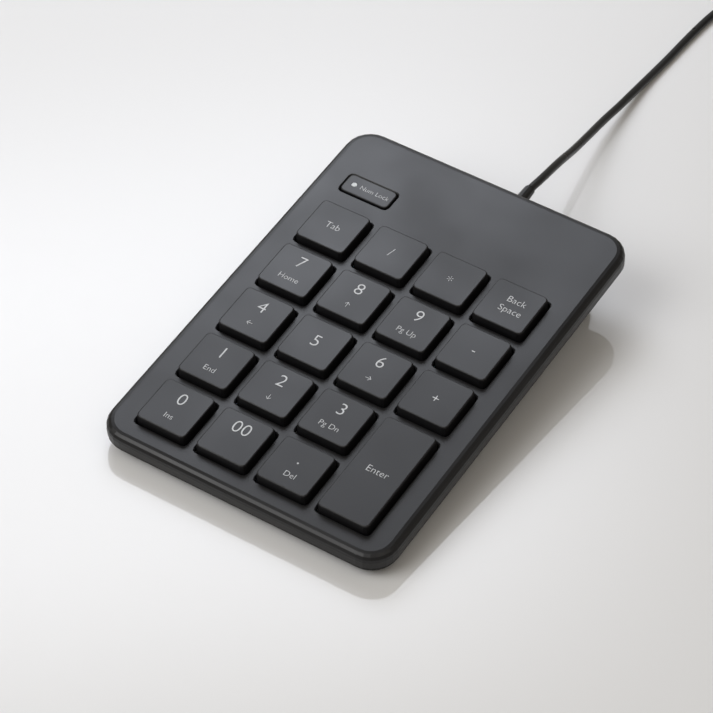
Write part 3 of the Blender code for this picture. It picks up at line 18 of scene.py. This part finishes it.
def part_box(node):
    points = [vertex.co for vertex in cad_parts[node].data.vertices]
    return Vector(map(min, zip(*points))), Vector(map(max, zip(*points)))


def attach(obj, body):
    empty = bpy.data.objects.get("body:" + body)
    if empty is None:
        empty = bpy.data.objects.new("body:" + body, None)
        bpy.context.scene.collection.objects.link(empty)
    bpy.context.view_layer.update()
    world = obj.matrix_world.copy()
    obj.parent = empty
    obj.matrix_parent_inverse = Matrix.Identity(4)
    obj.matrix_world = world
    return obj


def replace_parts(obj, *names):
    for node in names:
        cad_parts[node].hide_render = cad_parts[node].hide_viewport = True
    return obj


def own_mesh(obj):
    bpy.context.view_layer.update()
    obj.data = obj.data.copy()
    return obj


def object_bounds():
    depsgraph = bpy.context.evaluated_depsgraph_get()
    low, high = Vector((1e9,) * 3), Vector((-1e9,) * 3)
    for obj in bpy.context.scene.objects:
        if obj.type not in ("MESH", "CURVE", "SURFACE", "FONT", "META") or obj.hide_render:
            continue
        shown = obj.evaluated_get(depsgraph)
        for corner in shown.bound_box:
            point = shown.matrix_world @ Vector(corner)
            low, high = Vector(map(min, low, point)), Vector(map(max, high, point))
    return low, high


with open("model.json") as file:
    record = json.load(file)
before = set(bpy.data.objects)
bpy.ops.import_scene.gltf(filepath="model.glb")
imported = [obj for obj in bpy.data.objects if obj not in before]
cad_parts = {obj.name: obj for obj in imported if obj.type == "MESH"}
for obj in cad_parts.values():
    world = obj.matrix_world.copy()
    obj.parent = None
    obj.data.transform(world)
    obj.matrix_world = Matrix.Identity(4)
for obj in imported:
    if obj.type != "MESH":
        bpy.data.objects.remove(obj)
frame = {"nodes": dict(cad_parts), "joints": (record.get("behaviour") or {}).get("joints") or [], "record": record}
cad_box = [list(corner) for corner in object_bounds()]
NODES = frame["nodes"]
MM = 0.001
print("frame:", len(NODES), "nodes, from", cad_box[0], "to", cad_box[1])

# %% [markdown]
# ## Camera
#
# A product picture is taken from well away with a long lens, so the keys stay square and the
# edges nearly parallel. Three angles say where the camera stands: how far round it is from the
# front, how high, and how much it leans. A distance and the point that it looks at do the rest.

# %% Camera
AZIMUTH = math.radians(31.54)
ELEVATION = math.radians(44.07)
LEAN = math.radians(1.87)
DISTANCE = 0.8504
LOOKS_AT = Vector((-0.0064, 0.0032, 0.0))
LENS = 156.5

turn = Matrix.Rotation(AZIMUTH, 4, "Z") @ Matrix.Rotation(math.pi / 2 - ELEVATION, 4, "X")
turn = turn @ Matrix.Rotation(LEAN, 4, "Z")
camera = bpy.data.objects.new("camera", bpy.data.cameras.new("camera"))
camera.data.lens = LENS
camera.data.sensor_width = 36.0
camera.matrix_world = Matrix.Translation(LOOKS_AT + turn.to_3x3() @ Vector((0, 0, DISTANCE))) @ turn
bpy.context.scene.collection.objects.link(camera)
bpy.context.scene.camera = camera
print("camera at", [round(c, 3) for c in camera.matrix_world.translation])

# %% [markdown]
# ## The lead
#
# The lead is a soft PVC cable, 2.4 mm thick and 1.5 m long. It leaves the rear of the case, sags
# to the floor and runs to the rear. The rest of it is wound for storage: four layers of four
# turns, each a cable's thickness from the next, held by a tie. A curve with a round bevel is the
# natural tool, because its centre line has the real length.

# %% Cable sizes and route
CABLE_DIAMETER = 2.4 * MM
RUN_TO_COIL = (
    (0.0075, 0.0712, 0.01885),
    (0.0076, 0.0782, 0.0182),
    (0.0066, 0.0894, 0.0155),
    (0.0052, 0.1010, 0.0115),
    (0.0037, 0.1133, 0.0080),
    (0.0026, 0.1244, 0.0054),
    (0.0022, 0.1344, 0.0036),
    (0.0019, 0.1435, 0.0024),
    (0.0018, 0.1519, 0.0016),
    (0.0019, 0.1594, 0.00125),
    (0.0021, 0.1661, 0.0012),
    (0.0022, 0.1738, 0.0012),
    (0.0024, 0.1813, 0.0012),
    (0.0027, 0.1880, 0.0012),
    (0.0033, 0.1940, 0.0012),
    (0.0040, 0.2000, 0.0012),
    (0.0049, 0.2058, 0.0014),
    (0.0057, 0.2104, 0.0018),
)
RUN_TO_PLUG = (
    (0.0421, 0.2098, 0.0090),
    (0.0430, 0.2060, 0.0082),
    (0.0445, 0.2025, 0.0070),
    (0.0457, 0.1990, 0.0055),
    (0.0468, 0.1955, 0.0043),
    (0.0475, 0.1922, 0.0039),
    (0.0478, 0.1893, 0.0039),
)

# %% Wind the coil
coil_low, coil_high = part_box("cable_coil")
COIL_CENTRE = (coil_low + coil_high) / 2
TURNS_PER_LAYER = 4
LAYERS = 4
OUTERMOST = 0.58                    # cable thicknesses from the coil's outside to its first turn
ROW_RADII = [
    coil_high.x - COIL_CENTRE.x - CABLE_DIAMETER * (OUTERMOST + row) for row in range(TURNS_PER_LAYER)
]
LAYER_HEIGHTS = [coil_low.z + CABLE_DIAMETER * (0.5 + layer) for layer in range(LAYERS)]
STEPS_PER_TURN = 36
TURNS = 14.5
CHANGE = 0.16                       # share of a turn in which it moves over to the next place


def winding_places():
    """(radius, height) of each turn, in and out through the layers, ending outside on top."""
    inward, outward = ROW_RADII, ROW_RADII[::-1]
    rows = [inward, outward, inward, outward[1:]]
    return [(radius, LAYER_HEIGHTS[layer]) for layer, row in enumerate(rows) for radius in row]


def eased(share):
    return share * share * (3 - 2 * share)


def coil_points():
    places = winding_places()
    points = []
    for step in range(1, int(TURNS * STEPS_PER_TURN)):
        turns = step / STEPS_PER_TURN
        index = int(turns)
        here, after = places[index], places[min(index + 1, len(places) - 1)]
        moved = eased(max(0.0, (turns - index - 1 + CHANGE) / CHANGE))
        radius = here[0] + (after[0] - here[0]) * moved
        height = here[1] + (after[1] - here[1]) * moved
        angle = math.pi - math.tau * turns
        points.append(
            (COIL_CENTRE.x + radius * math.cos(angle), COIL_CENTRE.y + radius * math.sin(angle), height)
        )
    return points


def rounded(points, parts):
    """The same route with parts steps between its points, on a smooth curve through them."""
    points = [Vector(p) for p in points]
    padded = [2 * points[0] - points[1], *points, 2 * points[-1] - points[-2]]
    found = []
    for a, b, c, d in zip(padded, padded[1:], padded[2:], padded[3:]):
        for part in range(parts):
            t = part / parts
            found.append(
                0.5 * (2 * b + (c - a) * t + (2 * a - 5 * b + 4 * c - d) * t * t
                       + (3 * b - a - 3 * c + d) * t ** 3)
            )
    return [*found, points[-1]]


def curve_through(name, points, radius, sides=8):
    """A round cable whose centre line is these points."""
    data = bpy.data.curves.new(name, "CURVE")
    data.dimensions = "3D"
    data.bevel_depth = 1.0              # each point carries the tube's radius itself
    data.bevel_resolution = sides
    data.use_fill_caps = True
    spline = data.splines.new("POLY")
    spline.points.add(len(points) - 1)
    for point, place in zip(spline.points, points):
        point.co = (*place, 1.0)
        point.radius = radius
    spline.use_smooth = True
    made = bpy.data.objects.new(name, data)
    bpy.context.scene.collection.objects.link(made)
    return made


cable_line = rounded([*RUN_TO_COIL, *coil_points()[4::2], *RUN_TO_PLUG], 3)
lead = curve_through("lead", cable_line, CABLE_DIAMETER / 2)
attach(lead, "case")
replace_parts(lead, "cable", "cable_coil", "cable_end")
line_length = sum((b - a).length for a, b in zip(cable_line, cable_line[1:]))
print("lead:", round(line_length, 3), "m on", len(cable_line), "points")

# %% [markdown]
# ## Helpers for finishes
#
# Colours are given as sRGB hex values, as in any paint program, and one function turns them to
# the linear light that the shader works in. One small function adds a node with its settings
# and links. Every finish starts from a Principled shader with that material's usual values.

# %% Colour and node helpers


def linear(hex_colour):
    """(r, g, b, 1) in linear light from an sRGB hex value."""
    found = []
    for start in (0, 2, 4):
        value = int(hex_colour[start:start + 2], 16) / 255
        found.append(value / 12.92 if value <= 0.04045 else ((value + 0.055) / 1.055) ** 2.4)
    return (*found, 1.0)


def add(material, kind, sockets=(), **settings):
    """Adds a node to a material or light. sockets take a value or another socket."""
    made = material.node_tree.nodes.new("ShaderNode" + kind)
    for name, value in settings.items():
        setattr(made, name, value)
    for name, value in dict(sockets).items():
        if isinstance(value, bpy.types.NodeSocket):
            material.node_tree.links.new(value, made.inputs[name])
        else:
            made.inputs[name].default_value = value
    return made


def finish(name, sockets):
    """A new material and its Principled shader, with these values on the shader's sockets."""
    material = bpy.data.materials.new(name)
    material.use_nodes = True
    shader = material.node_tree.nodes["Principled BSDF"]
    for socket, value in sockets.items():
        shader.inputs[socket].default_value = value
    return material, shader


def link(material, socket, target):
    material.node_tree.links.new(socket, target)


FINISHES = {}

# %% [markdown]
# ### Textured ABS for the case
#
# The covers are injection-moulded ABS from a spark-eroded mould. That leaves a fine, even grain
# which spreads a reflection into a soft sheen. The real grain is about 0.1 mm, too fine to show,
# so it is drawn at 0.5 mm. A slow change in roughness stands for handling. The tray comes from a
# rougher mould and is matt.

# %% Textured ABS
GRAIN = 0.5 * MM
HANDLING = 25 * MM
PLASTIC_IOR = 1.53
PLASTIC_SHEEN = 0.38                # under the shader's usual 0.5, for a dull moulded skin
CASE_COLOUR = "0f0f11"
CASE_COLOUR_WORN = "131315"


def plastic(name, light, dark, grain, height, roughness, spread=0.05):
    """Moulded plastic: two close tones in slow patches, a fine grain and a slow change of gloss."""
    material, shader = finish(name, {"IOR": PLASTIC_IOR, "Specular IOR Level": PLASTIC_SHEEN})
    place = add(material, "TexCoord").outputs["Object"]
    fine = add(material, "TexNoise", {"Vector": place, "Scale": 1 / grain, "Detail": 3.0})
    slow = add(material, "TexNoise", {"Vector": place, "Scale": 1 / HANDLING, "Detail": 2.0})
    tones = add(material, "ValToRGB", {"Fac": slow.outputs["Fac"]})
    tones.color_ramp.elements[0].position = 0.35
    tones.color_ramp.elements[1].position = 0.65
    tones.color_ramp.elements[0].color = linear(dark)
    tones.color_ramp.elements[1].color = linear(light)
    gloss = add(
        material, "MapRange",
        {"Value": slow.outputs["Fac"], "From Min": 0.3, "From Max": 0.7,
         "To Min": roughness - spread, "To Max": roughness + spread},
    )
    bump = add(
        material, "Bump", {"Height": fine.outputs["Fac"], "Strength": 1.0, "Distance": height}
    )
    link(material, tones.outputs["Color"], shader.inputs["Base Color"])
    link(material, gloss.outputs["Result"], shader.inputs["Roughness"])
    link(material, bump.outputs["Normal"], shader.inputs["Normal"])
    return material


FINISHES["charcoal_abs"] = plastic(
    "textured_moulded_abs", CASE_COLOUR_WORN, CASE_COLOUR, GRAIN, 0.012 * MM, 0.38
)
FINISHES["matt_abs"] = plastic("spark_eroded_abs", "0b0b0c", "09090a", GRAIN, 0.020 * MM, 0.70)

# %% [markdown]
# ### Satin ABS for the keycaps
#
# Keycaps come from a smoother mould than the case, so they carry a slightly tighter sheen, and
# fingertips polish them a little.

# %% Satin ABS
FINISHES["key_abs"] = plastic(
    "satin_moulded_abs", "131315", "101012", 0.35 * MM, 0.006 * MM, 0.38, spread=0.05
)

# %% [markdown]
# ### Black plastics, rubber and cable sheath
#
# The lead's sheath is extruded PVC, smooth and a little shiny. Its strain relief is the same
# material, moulded. The feet are die-cut rubber, dull and faintly grained. The plug's grip and
# the tie are satin black plastic.

# %% Black plastics and rubber
FINISHES["black_pvc"] = plastic(
    "extruded_black_pvc", "1c1c1d", "171718", 0.8 * MM, 0.004 * MM, 0.30
)
FINISHES["black_abs"] = plastic("moulded_black_abs", "202022", "1b1b1c", 0.5 * MM, 0.010 * MM, 0.42)
FINISHES["black_rubber"] = plastic(
    "die_cut_black_rubber", "262626", "1e1e1e", 0.6 * MM, 0.020 * MM, 0.75
)

# %% [markdown]
# ### Pieces inside the case
#
# They show only with the case open: a translucent silicone dome sheet, clear polyester films, a
# green glass-epoxy board, black epoxy parts and a milky lamp.

# %% Inner plastics
FINISHES["silicone"] = plastic(
    "moulded_silicone", "d4d4cf", "c9c9c4", 0.6 * MM, 0.008 * MM, 0.50
)
FINISHES["silicone"].node_tree.nodes["Principled BSDF"].inputs["Subsurface Weight"].default_value = 0.3
FINISHES["polyester_film"] = plastic(
    "clear_polyester_film", "cfd6d2", "c4ccc8", 2.0 * MM, 0.002 * MM, 0.18
)
FINISHES["glass_epoxy"] = plastic(
    "solder_masked_glass_epoxy", "1f5c36", "184b2b", 0.7 * MM, 0.006 * MM, 0.28
)
FINISHES["epoxy_resin"] = plastic(
    "moulded_black_epoxy", "242426", "1c1c1e", 0.3 * MM, 0.008 * MM, 0.50
)
FINISHES["tongue_nylon"] = plastic(
    "moulded_white_nylon", "e6e5df", "dcdbd5", 0.4 * MM, 0.004 * MM, 0.40
)
FINISHES["led_resin"] = plastic("diffused_lamp_resin", "dfe3d6", "d5dacb", 0.5 * MM, 0.002 * MM, 0.22)

# %% [markdown]
# ### Metals
#
# Screws and backplate are zinc-plated steel, matt grey with fine rolling marks. The plug's shell
# is nickel-plated steel, brighter and warmer. A metal takes its look from its reflection colour
# and roughness, and keeps the shader's own IOR.

# %% Metals
ROLLING_MARK = 0.3 * MM
MARK_STRETCH = 0.04                 # marks are long in x and fine across


def metal(name, colour, roughness, spread):
    """Bare or plated metal: one tone, and a gloss that changes along its rolling marks."""
    material, shader = finish(name, {"Metallic": 1.0, "Base Color": linear(colour)})
    place = add(material, "TexCoord").outputs["Object"]
    drawn_out = add(material, "Mapping", {"Vector": place, "Scale": (MARK_STRETCH, 1.0, 1.0)})
    marks = add(
        material, "TexNoise",
        {"Vector": drawn_out.outputs["Vector"], "Scale": 1 / ROLLING_MARK, "Detail": 2.0},
    )
    gloss = add(
        material, "MapRange",
        {"Value": marks.outputs["Fac"], "To Min": roughness - spread, "To Max": roughness + spread},
    )
    link(material, gloss.outputs["Result"], shader.inputs["Roughness"])
    return material


FINISHES["zinc_plated_steel"] = metal("zinc_plated_steel", "b9bbbd", 0.42, 0.12)
FINISHES["nickel_plate"] = metal("nickel_plated_steel", "cfcbc2", 0.24, 0.08)

# %% [markdown]
# ### Clear acrylic lamp window
#
# A small light pipe carries the lamp's light to the button's face. Unlit, it shows as a pale,
# slightly milky dot.

# %% Clear acrylic
material, shader = finish(
    "clear_acrylic",
    {"Base Color": linear("c9ccca"), "Roughness": 0.15, "IOR": 1.49, "Transmission Weight": 0.35},
)
haze = add(
    material, "TexNoise",
    {"Vector": add(material, "TexCoord").outputs["Object"], "Scale": 1 / (0.4 * MM)},
)
milk = add(material, "MapRange", {"Value": haze.outputs["Fac"], "To Min": 0.10, "To Max": 0.22})
link(material, milk.outputs["Result"], shader.inputs["Roughness"])
FINISHES["clear_acrylic"] = material

# %% [markdown]
# ### Finishes onto the CAD nodes
#
# The record says which finish each node has, so one loop dresses them all. The CAD's facets are
# shaded smooth up to 50 degrees between neighbours, which rounds the edges and keeps the crisp
# ones crisp. A Weighted Normal modifier keeps the large flat faces flat beside them.

# %% Dress the CAD nodes
SMOOTH_UP_TO = math.radians(50)
for entry in frame["record"]["subparts"]:
    node = NODES[entry["node"]]
    node.data.materials.clear()
    node.data.materials.append(FINISHES[entry["material_slot"]])
    node.data.shade_smooth()
    node.data.set_sharp_from_angle(angle=SMOOTH_UP_TO)
    flats = node.modifiers.new("flats stay flat", "WEIGHTED_NORMAL")
    flats.keep_sharp = True
lead.data.materials.append(FINISHES["black_pvc"])
print("dressed", len(NODES), "nodes; there are", len(FINISHES), "finishes")

# %% [markdown]
# ## The tray's lean
#
# The case stands tilted on its feet, so the deck has its own axes: the keys slide along its
# normal, and a cap's top face is what lies highest along it. The tray under the deck leans in
# towards the underside and ends in a full round, which makes the case look thin. A closed form is
# lofted through rounded outlines, each smaller than the last, and the tray is what the bottom
# cover and that form have in common. It takes the bottom cover's place.

# %% Deck axes
TOP_FACE_WITHIN = 0.05 * MM         # how far under its highest point a top face may lie
deck_up = Vector(frame["joints"][0]["axis"]).normalized()
deck_right = Vector((1.0, 0.0, 0.0))
deck_rear = deck_up.cross(deck_right)


def top_centre(node):
    """The middle of a cap's top face."""
    points = [vertex.co for vertex in NODES[node].data.vertices]
    highest = max(point.dot(deck_up) for point in points)
    top = [point for point in points if highest - point.dot(deck_up) < TOP_FACE_WITHIN]
    middle = [(min(p.dot(a) for p in top) + max(p.dot(a) for p in top)) / 2
              for a in (deck_right, deck_rear)]
    return deck_right * middle[0] + deck_rear * middle[1] + deck_up * highest


print("deck leans", round(math.degrees(math.asin(-deck_up.y)), 2), "degrees")

# %% Lean the tray in
CASE_HALF = (45.0 * MM, 65.25 * MM)
CORNER = 8.0 * MM
TIGHTEN_UP_TO = 0.8                 # the share of a corner's radius that an outline may lose
STEPS_PER_CORNER = 8
# Each outline's height over the deck's face and distance inside the case's, in millimetres.
TRAY_OUTLINES = (
    (-3.4, -0.05), (-4.6, -0.05), (-5.0, 0.10), (-5.9, 0.55), (-6.7, 1.15),
    (-7.4, 1.95), (-8.0, 2.90), (-8.5, 4.05), (-8.85, 5.40), (-9.0, 6.20),
)


def rounded_outline(inside, height):
    """The case's outline, moved in by inside, at a height over the deck's face."""
    radius = CORNER - min(inside, CORNER * TIGHTEN_UP_TO)
    centre_x, centre_y = CASE_HALF[0] - inside - radius, CASE_HALF[1] - inside - radius
    found = []
    for quarter, (side_x, side_y) in enumerate(((1, 1), (-1, 1), (-1, -1), (1, -1))):
        for step in range(STEPS_PER_CORNER + 1):
            angle = (quarter + step / STEPS_PER_CORNER) * math.pi / 2
            across = side_x * centre_x + radius * math.cos(angle)
            along = side_y * centre_y + radius * math.sin(angle)
            found.append(deck_middle + deck_right * across + deck_rear * along + deck_up * height)
    return found


deck_middle = top_centre("top_cover")
model = bmesh.new()
rings = [
    [model.verts.new(place) for place in rounded_outline(inside * MM, height * MM)]
    for height, inside in TRAY_OUTLINES
]
for upper, lower in zip(rings, rings[1:]):
    for index in range(len(upper)):
        after = (index + 1) % len(upper)
        model.faces.new((upper[index], lower[index], lower[after], upper[after]))
model.faces.new(rings[0])
model.faces.new(rings[-1][::-1])
bmesh.ops.recalc_face_normals(model, faces=model.faces)
tray_form = bpy.data.objects.new("tray_form", bpy.data.meshes.new("tray_form"))
model.to_mesh(tray_form.data)
model.free()
bpy.context.scene.collection.objects.link(tray_form)

bottom_cover = NODES["bottom_cover"]
keep = bottom_cover.modifiers.new("lean in", "BOOLEAN")
keep.operation = "INTERSECT"
keep.solver = "EXACT"
keep.object = tray_form
bottom_cover.modifiers.move(1, 0)   # the flats are weighted after the cut
shaped = bottom_cover.evaluated_get(bpy.context.evaluated_depsgraph_get())
tray = bpy.data.objects.new("tray", bpy.data.meshes.new_from_object(shaped))
tray.matrix_world = bottom_cover.matrix_world.copy()
bpy.context.scene.collection.objects.link(tray)
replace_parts(tray, "bottom_cover")
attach(tray, "case")
tray.data.materials.clear()
tray.data.materials.append(FINISHES["matt_abs"])
for used_up in list(bottom_cover.modifiers):
    bottom_cover.modifiers.remove(used_up)
bpy.data.objects.remove(tray_form)
print("tray form:", len(TRAY_OUTLINES), "outlines round", [round(c, 4) for c in deck_middle])

# %% [markdown]
# ## Domes as pieces of their own
#
# A pressed key collapses the rubber dome under its stem, and the lock button pushes the plunger of
# its switch in. So each dome becomes its own piece of the sheet, and the switch becomes a piece of
# its own. Both pieces are inside the case.

# %% Domes and the lock switch
DOME_REACH = 8.5 * MM               # less than half a key's pitch


def piece_of(name, model_faces, coat):
    """A piece made of some of a model's faces, in this material, riding on the case."""
    part = bmesh.new()
    made = {}
    for face in model_faces:
        for corner in face.verts:
            if corner not in made:
                made[corner] = part.verts.new(corner.co)
        part.faces.new([made[corner] for corner in face.verts]).smooth = True
    piece = bpy.data.objects.new(name, bpy.data.meshes.new(name))
    part.to_mesh(piece.data)
    part.free()
    bpy.context.scene.collection.objects.link(piece)
    piece.data.materials.append(coat)
    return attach(piece, "case")


def give_way(piece):
    """Gives a piece its own copy of its mesh."""
    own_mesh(piece)


def model_of(name):
    """A node's mesh, where it stands in the frame."""
    model = bmesh.new()
    model.from_mesh(NODES[name].data)
    model.transform(NODES[name].matrix_world)
    return model


def near_axis(face, middle):
    """Whether a face lies within a dome's reach of the line through middle along the normal."""
    offsets = [corner.co - middle for corner in face.verts]
    return all((away - deck_up * away.dot(deck_up)).length < DOME_REACH for away in offsets)


KEYS = sorted(name for name in NODES if name.startswith("key_"))
sheet = model_of("dome_sheet")
left_over = set(sheet.faces)
for node in KEYS:
    middle = top_centre(node)
    dome = [face for face in left_over if near_axis(face, middle)]
    left_over -= set(dome)
    piece = piece_of("dome_" + node, dome, FINISHES["silicone"])
    give_way(piece)
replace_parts(piece_of("dome_base", left_over, FINISHES["silicone"]), "dome_sheet")
sheet.free()

switch = model_of("num_lock_switch")
pushed = piece_of("lock_plunger", switch.faces, NODES["num_lock_switch"].data.materials[0])
switch.free()
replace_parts(pushed, "num_lock_switch")
give_way(pushed)
print("domes:", len(KEYS), "of them, one under each key")

# %% [markdown]
# ## Key legends
#
# The legends are pad-printed in a thin pale grey: a large digit towards the rear of each cap and
# a small cursor word in front of it. Each is a text curve turned into a mesh and set a hair
# above the cap, so it shows as ink and moves with its key.

# %% Pad-printed ink
material, shader = finish("pad_printed_ink", {"Base Color": linear("c6c8ca"), "Roughness": 0.55})
wear = add(
    material, "TexNoise",
    {"Vector": add(material, "TexCoord").outputs["Object"], "Scale": 1 / (0.6 * MM), "Detail": 2.0},
)
ink_tones = add(material, "ValToRGB", {"Fac": wear.outputs["Fac"]})
ink_tones.color_ramp.elements[0].color = linear("b4b6b8")
ink_tones.color_ramp.elements[1].color = linear("d0d2d4")
link(material, ink_tones.outputs["Color"], shader.inputs["Base Color"])
INK = material

# %% Legend sizes
DIGIT_HEIGHT = 3.9 * MM
WORD_HEIGHT = 1.75 * MM
SIGN_HEIGHT = 3.0 * MM
NAME_HEIGHT = 2.1 * MM
LOCK_HEIGHT = 1.5 * MM
INK_ABOVE = 0.03 * MM
INK_THICKNESS = 0.015 * MM
THINNING = -0.012                   # share of the letter size taken off each side of a stroke

# Each cap's legends: the words, their height, and their middle from the cap's middle in
# millimetres, to the right and to the rear.
LEGENDS = {
    "key_0": (("0", "digit", 0, 3.1), ("Ins", "word", 0, -3.3)),
    "key_00": (("00", "digit", 0, 3.1),),
    "key_decimal": ((".", "digit", 0, 2.6), ("Del", "word", 0.3, -3.3)),
    "key_1": (("1", "digit", 0, 3.1), ("End", "word", 0, -3.3)),
    "key_2": (("2", "digit", 0, 3.1), ("↓", "arrow", 0, -3.3)),
    "key_3": (("3", "digit", 0, 3.1), ("Pg Dn", "word", 0, -3.3)),
    "key_4": (("4", "digit", 0, 3.1), ("←", "arrow", 0, -3.3)),
    "key_5": (("5", "digit", 0, 0.6),),
    "key_6": (("6", "digit", 0, 3.1), ("→", "arrow", 0, -3.3)),
    "key_7": (("7", "digit", 0, 3.1), ("Home", "word", 0, -3.3)),
    "key_8": (("8", "digit", 0, 3.1), ("↑", "arrow", 0, -3.3)),
    "key_9": (("9", "digit", 0, 3.1), ("Pg Up", "word", 0, -3.3)),
    "key_tab": (("Tab", "name", 0, 0),),
    "key_divide": (("/", "sign", 0, 0),),
    "key_multiply": (("*", "sign", 0, 0),),
    "key_subtract": (("-", "sign", 0, 0),),
    "key_add": (("+", "sign", 0, 0),),
    "key_backspace": (("Back", "name", 0.9, 2.1), ("Space", "name", 0.9, -1.6)),
    "key_enter": (("Enter", "name", 0.2, -0.2),),
    "num_lock_button": (("Num Lock", "lock", 1.9, 0),),
}
LETTER_HEIGHT = {
    "digit": DIGIT_HEIGHT, "sign": SIGN_HEIGHT, "name": NAME_HEIGHT,
    "word": WORD_HEIGHT, "arrow": WORD_HEIGHT, "lock": LOCK_HEIGHT,
}
CAPITAL = 0.682                     # height of a capital in the built-in letters, size 1

# %% Print the legends


def letters(words, height):
    """A flat mesh of these words, capitals this high, centred on their own middle."""
    data = bpy.data.curves.new("letters", "FONT")
    data.body = words
    data.size = height / CAPITAL
    data.align_x = "CENTER"
    data.offset = THINNING * data.size
    data.extrude = INK_THICKNESS / 2
    data.resolution_u = 4
    text = bpy.data.objects.new("letters", data)
    bpy.context.scene.collection.objects.link(text)
    bpy.context.view_layer.update()
    mesh = bpy.data.meshes.new_from_object(text)
    bpy.data.objects.remove(text)
    ys = [vertex.co.y for vertex in mesh.vertices]
    centre = (min(ys) + max(ys)) / 2 if words in "*-+/←→↑↓" else height / 2
    mesh.transform(Matrix.Translation((0, -centre, 0)))
    return mesh


def print_legend(node, lines):
    """One piece of ink for a cap, made of all its words."""
    origin = top_centre(node) + deck_up * INK_ABOVE
    model = bmesh.new()
    for words, kind, right, rear in lines:
        mesh = letters(words, LETTER_HEIGHT[kind])
        middle = origin + deck_right * right * MM + deck_rear * rear * MM
        basis = Matrix((deck_right, deck_rear, deck_up)).transposed().to_4x4()
        mesh.transform(Matrix.Translation(middle) @ basis)
        model.from_mesh(mesh)
        bpy.data.meshes.remove(mesh)
    name = "legend_" + node
    mesh = bpy.data.meshes.new(name)
    model.to_mesh(mesh)
    model.free()
    piece = bpy.data.objects.new(name, mesh)
    bpy.context.scene.collection.objects.link(piece)
    mesh.materials.append(INK)
    body = next(b for b, nodes in frame["record"]["behaviour"]["bodies"].items() if node in nodes)
    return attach(piece, body)


for node, lines in LEGENDS.items():
    print_legend(node, lines)
print("printed", len(LEGENDS), "legends")

# %% [markdown]
# ## Floor and light
#
# A sheet of polished white acrylic is the usual product table: it is pale, and it mirrors the
# object under its edges. A bright soft box stands near, behind and to the left, so that the deck
# and the keys mirror it and their sheen fades away from it. A large one in front fills the
# shadow that it throws, a weak one high on the right does the same there, and the room adds a
# little warm light. Each box glows less towards its edges, so no edge of it shows in the table.

# %% Floor
FLOOR_SIZE = 6.0
UNDER_FEET = 0.02 * MM
floor_mesh = bpy.data.meshes.new("floor")
outline = bmesh.new()
bmesh.ops.create_grid(outline, x_segments=2, y_segments=2, size=FLOOR_SIZE / 2)
outline.to_mesh(floor_mesh)
outline.free()
floor = bpy.data.objects.new("floor", floor_mesh)
floor.location.z = cad_box[0][2] - UNDER_FEET
bpy.context.scene.collection.objects.link(floor)
material, shader = finish(
    "polished_white_acrylic",
    {"Base Color": linear("e0e0e0"), "Roughness": 0.03, "IOR": 1.49, "Specular IOR Level": 0.35},
)
floor_mesh.materials.append(material)

# %% Lights
FADE = 0.40                         # share of a box's width over which its edge fades in


def soft_light(name, azimuth, elevation, distance, size, radiance, hex_colour):
    """A soft box that faces the keypad. azimuth is measured from the rear towards the left.

    radiance is its glow before the edges fade, the same at any size and distance.
    """
    around, up = math.radians(azimuth), math.radians(elevation)
    away = Vector((-math.sin(around) * math.cos(up), math.cos(around) * math.cos(up), math.sin(up)))
    light = bpy.data.lights.new(name, "AREA")
    light.shape = "RECTANGLE"
    light.size, light.size_y = size
    light.energy = radiance * math.pi * size[0] * size[1]
    light.color = linear(hex_colour)[:3]
    light.use_nodes = True
    across = add(light, "NewGeometry").outputs["Parametric"]
    sides = add(light, "SeparateXYZ", {"Vector": across})
    glow = {}
    for index, side in enumerate("XY"):
        inward = add(light, "Math", {0: sides.outputs[side], 1: 0.5}, operation="PINGPONG")
        glow[index] = add(
            light, "MapRange", {"Value": inward.outputs["Value"], "From Max": FADE},
            interpolation_type="SMOOTHSTEP",
        ).outputs["Result"]
    both = add(light, "Math", glow, operation="MULTIPLY")
    link(light, both.outputs["Value"], light.node_tree.nodes["Emission"].inputs["Strength"])
    lamp = bpy.data.objects.new(name, light)
    lamp.location = away * distance
    lamp.rotation_euler = (-away).to_track_quat("-Z", "Y").to_euler()
    bpy.context.scene.collection.objects.link(lamp)
    return lamp


soft_light("soft_box_rear_left", 44, 46, 0.60, (0.60, 0.42), 6.5, "f0f5ff")
soft_light("soft_box_right", 250, 60, 1.3, (1.0, 1.0), 1.3, "fffaf2")
soft_light("soft_box_front", 150, 45, 1.3, (1.4, 1.4), 4.2, "ffffff")

world = bpy.data.worlds.new("studio")
world.use_nodes = True
world.node_tree.nodes["Background"].inputs["Color"].default_value = linear("fff5e6")
world.node_tree.nodes["Background"].inputs["Strength"].default_value = 0.28
bpy.context.scene.world = world
bpy.context.scene.view_settings.view_transform = "Standard"

# %% The end
bpy.context.view_layer.update()
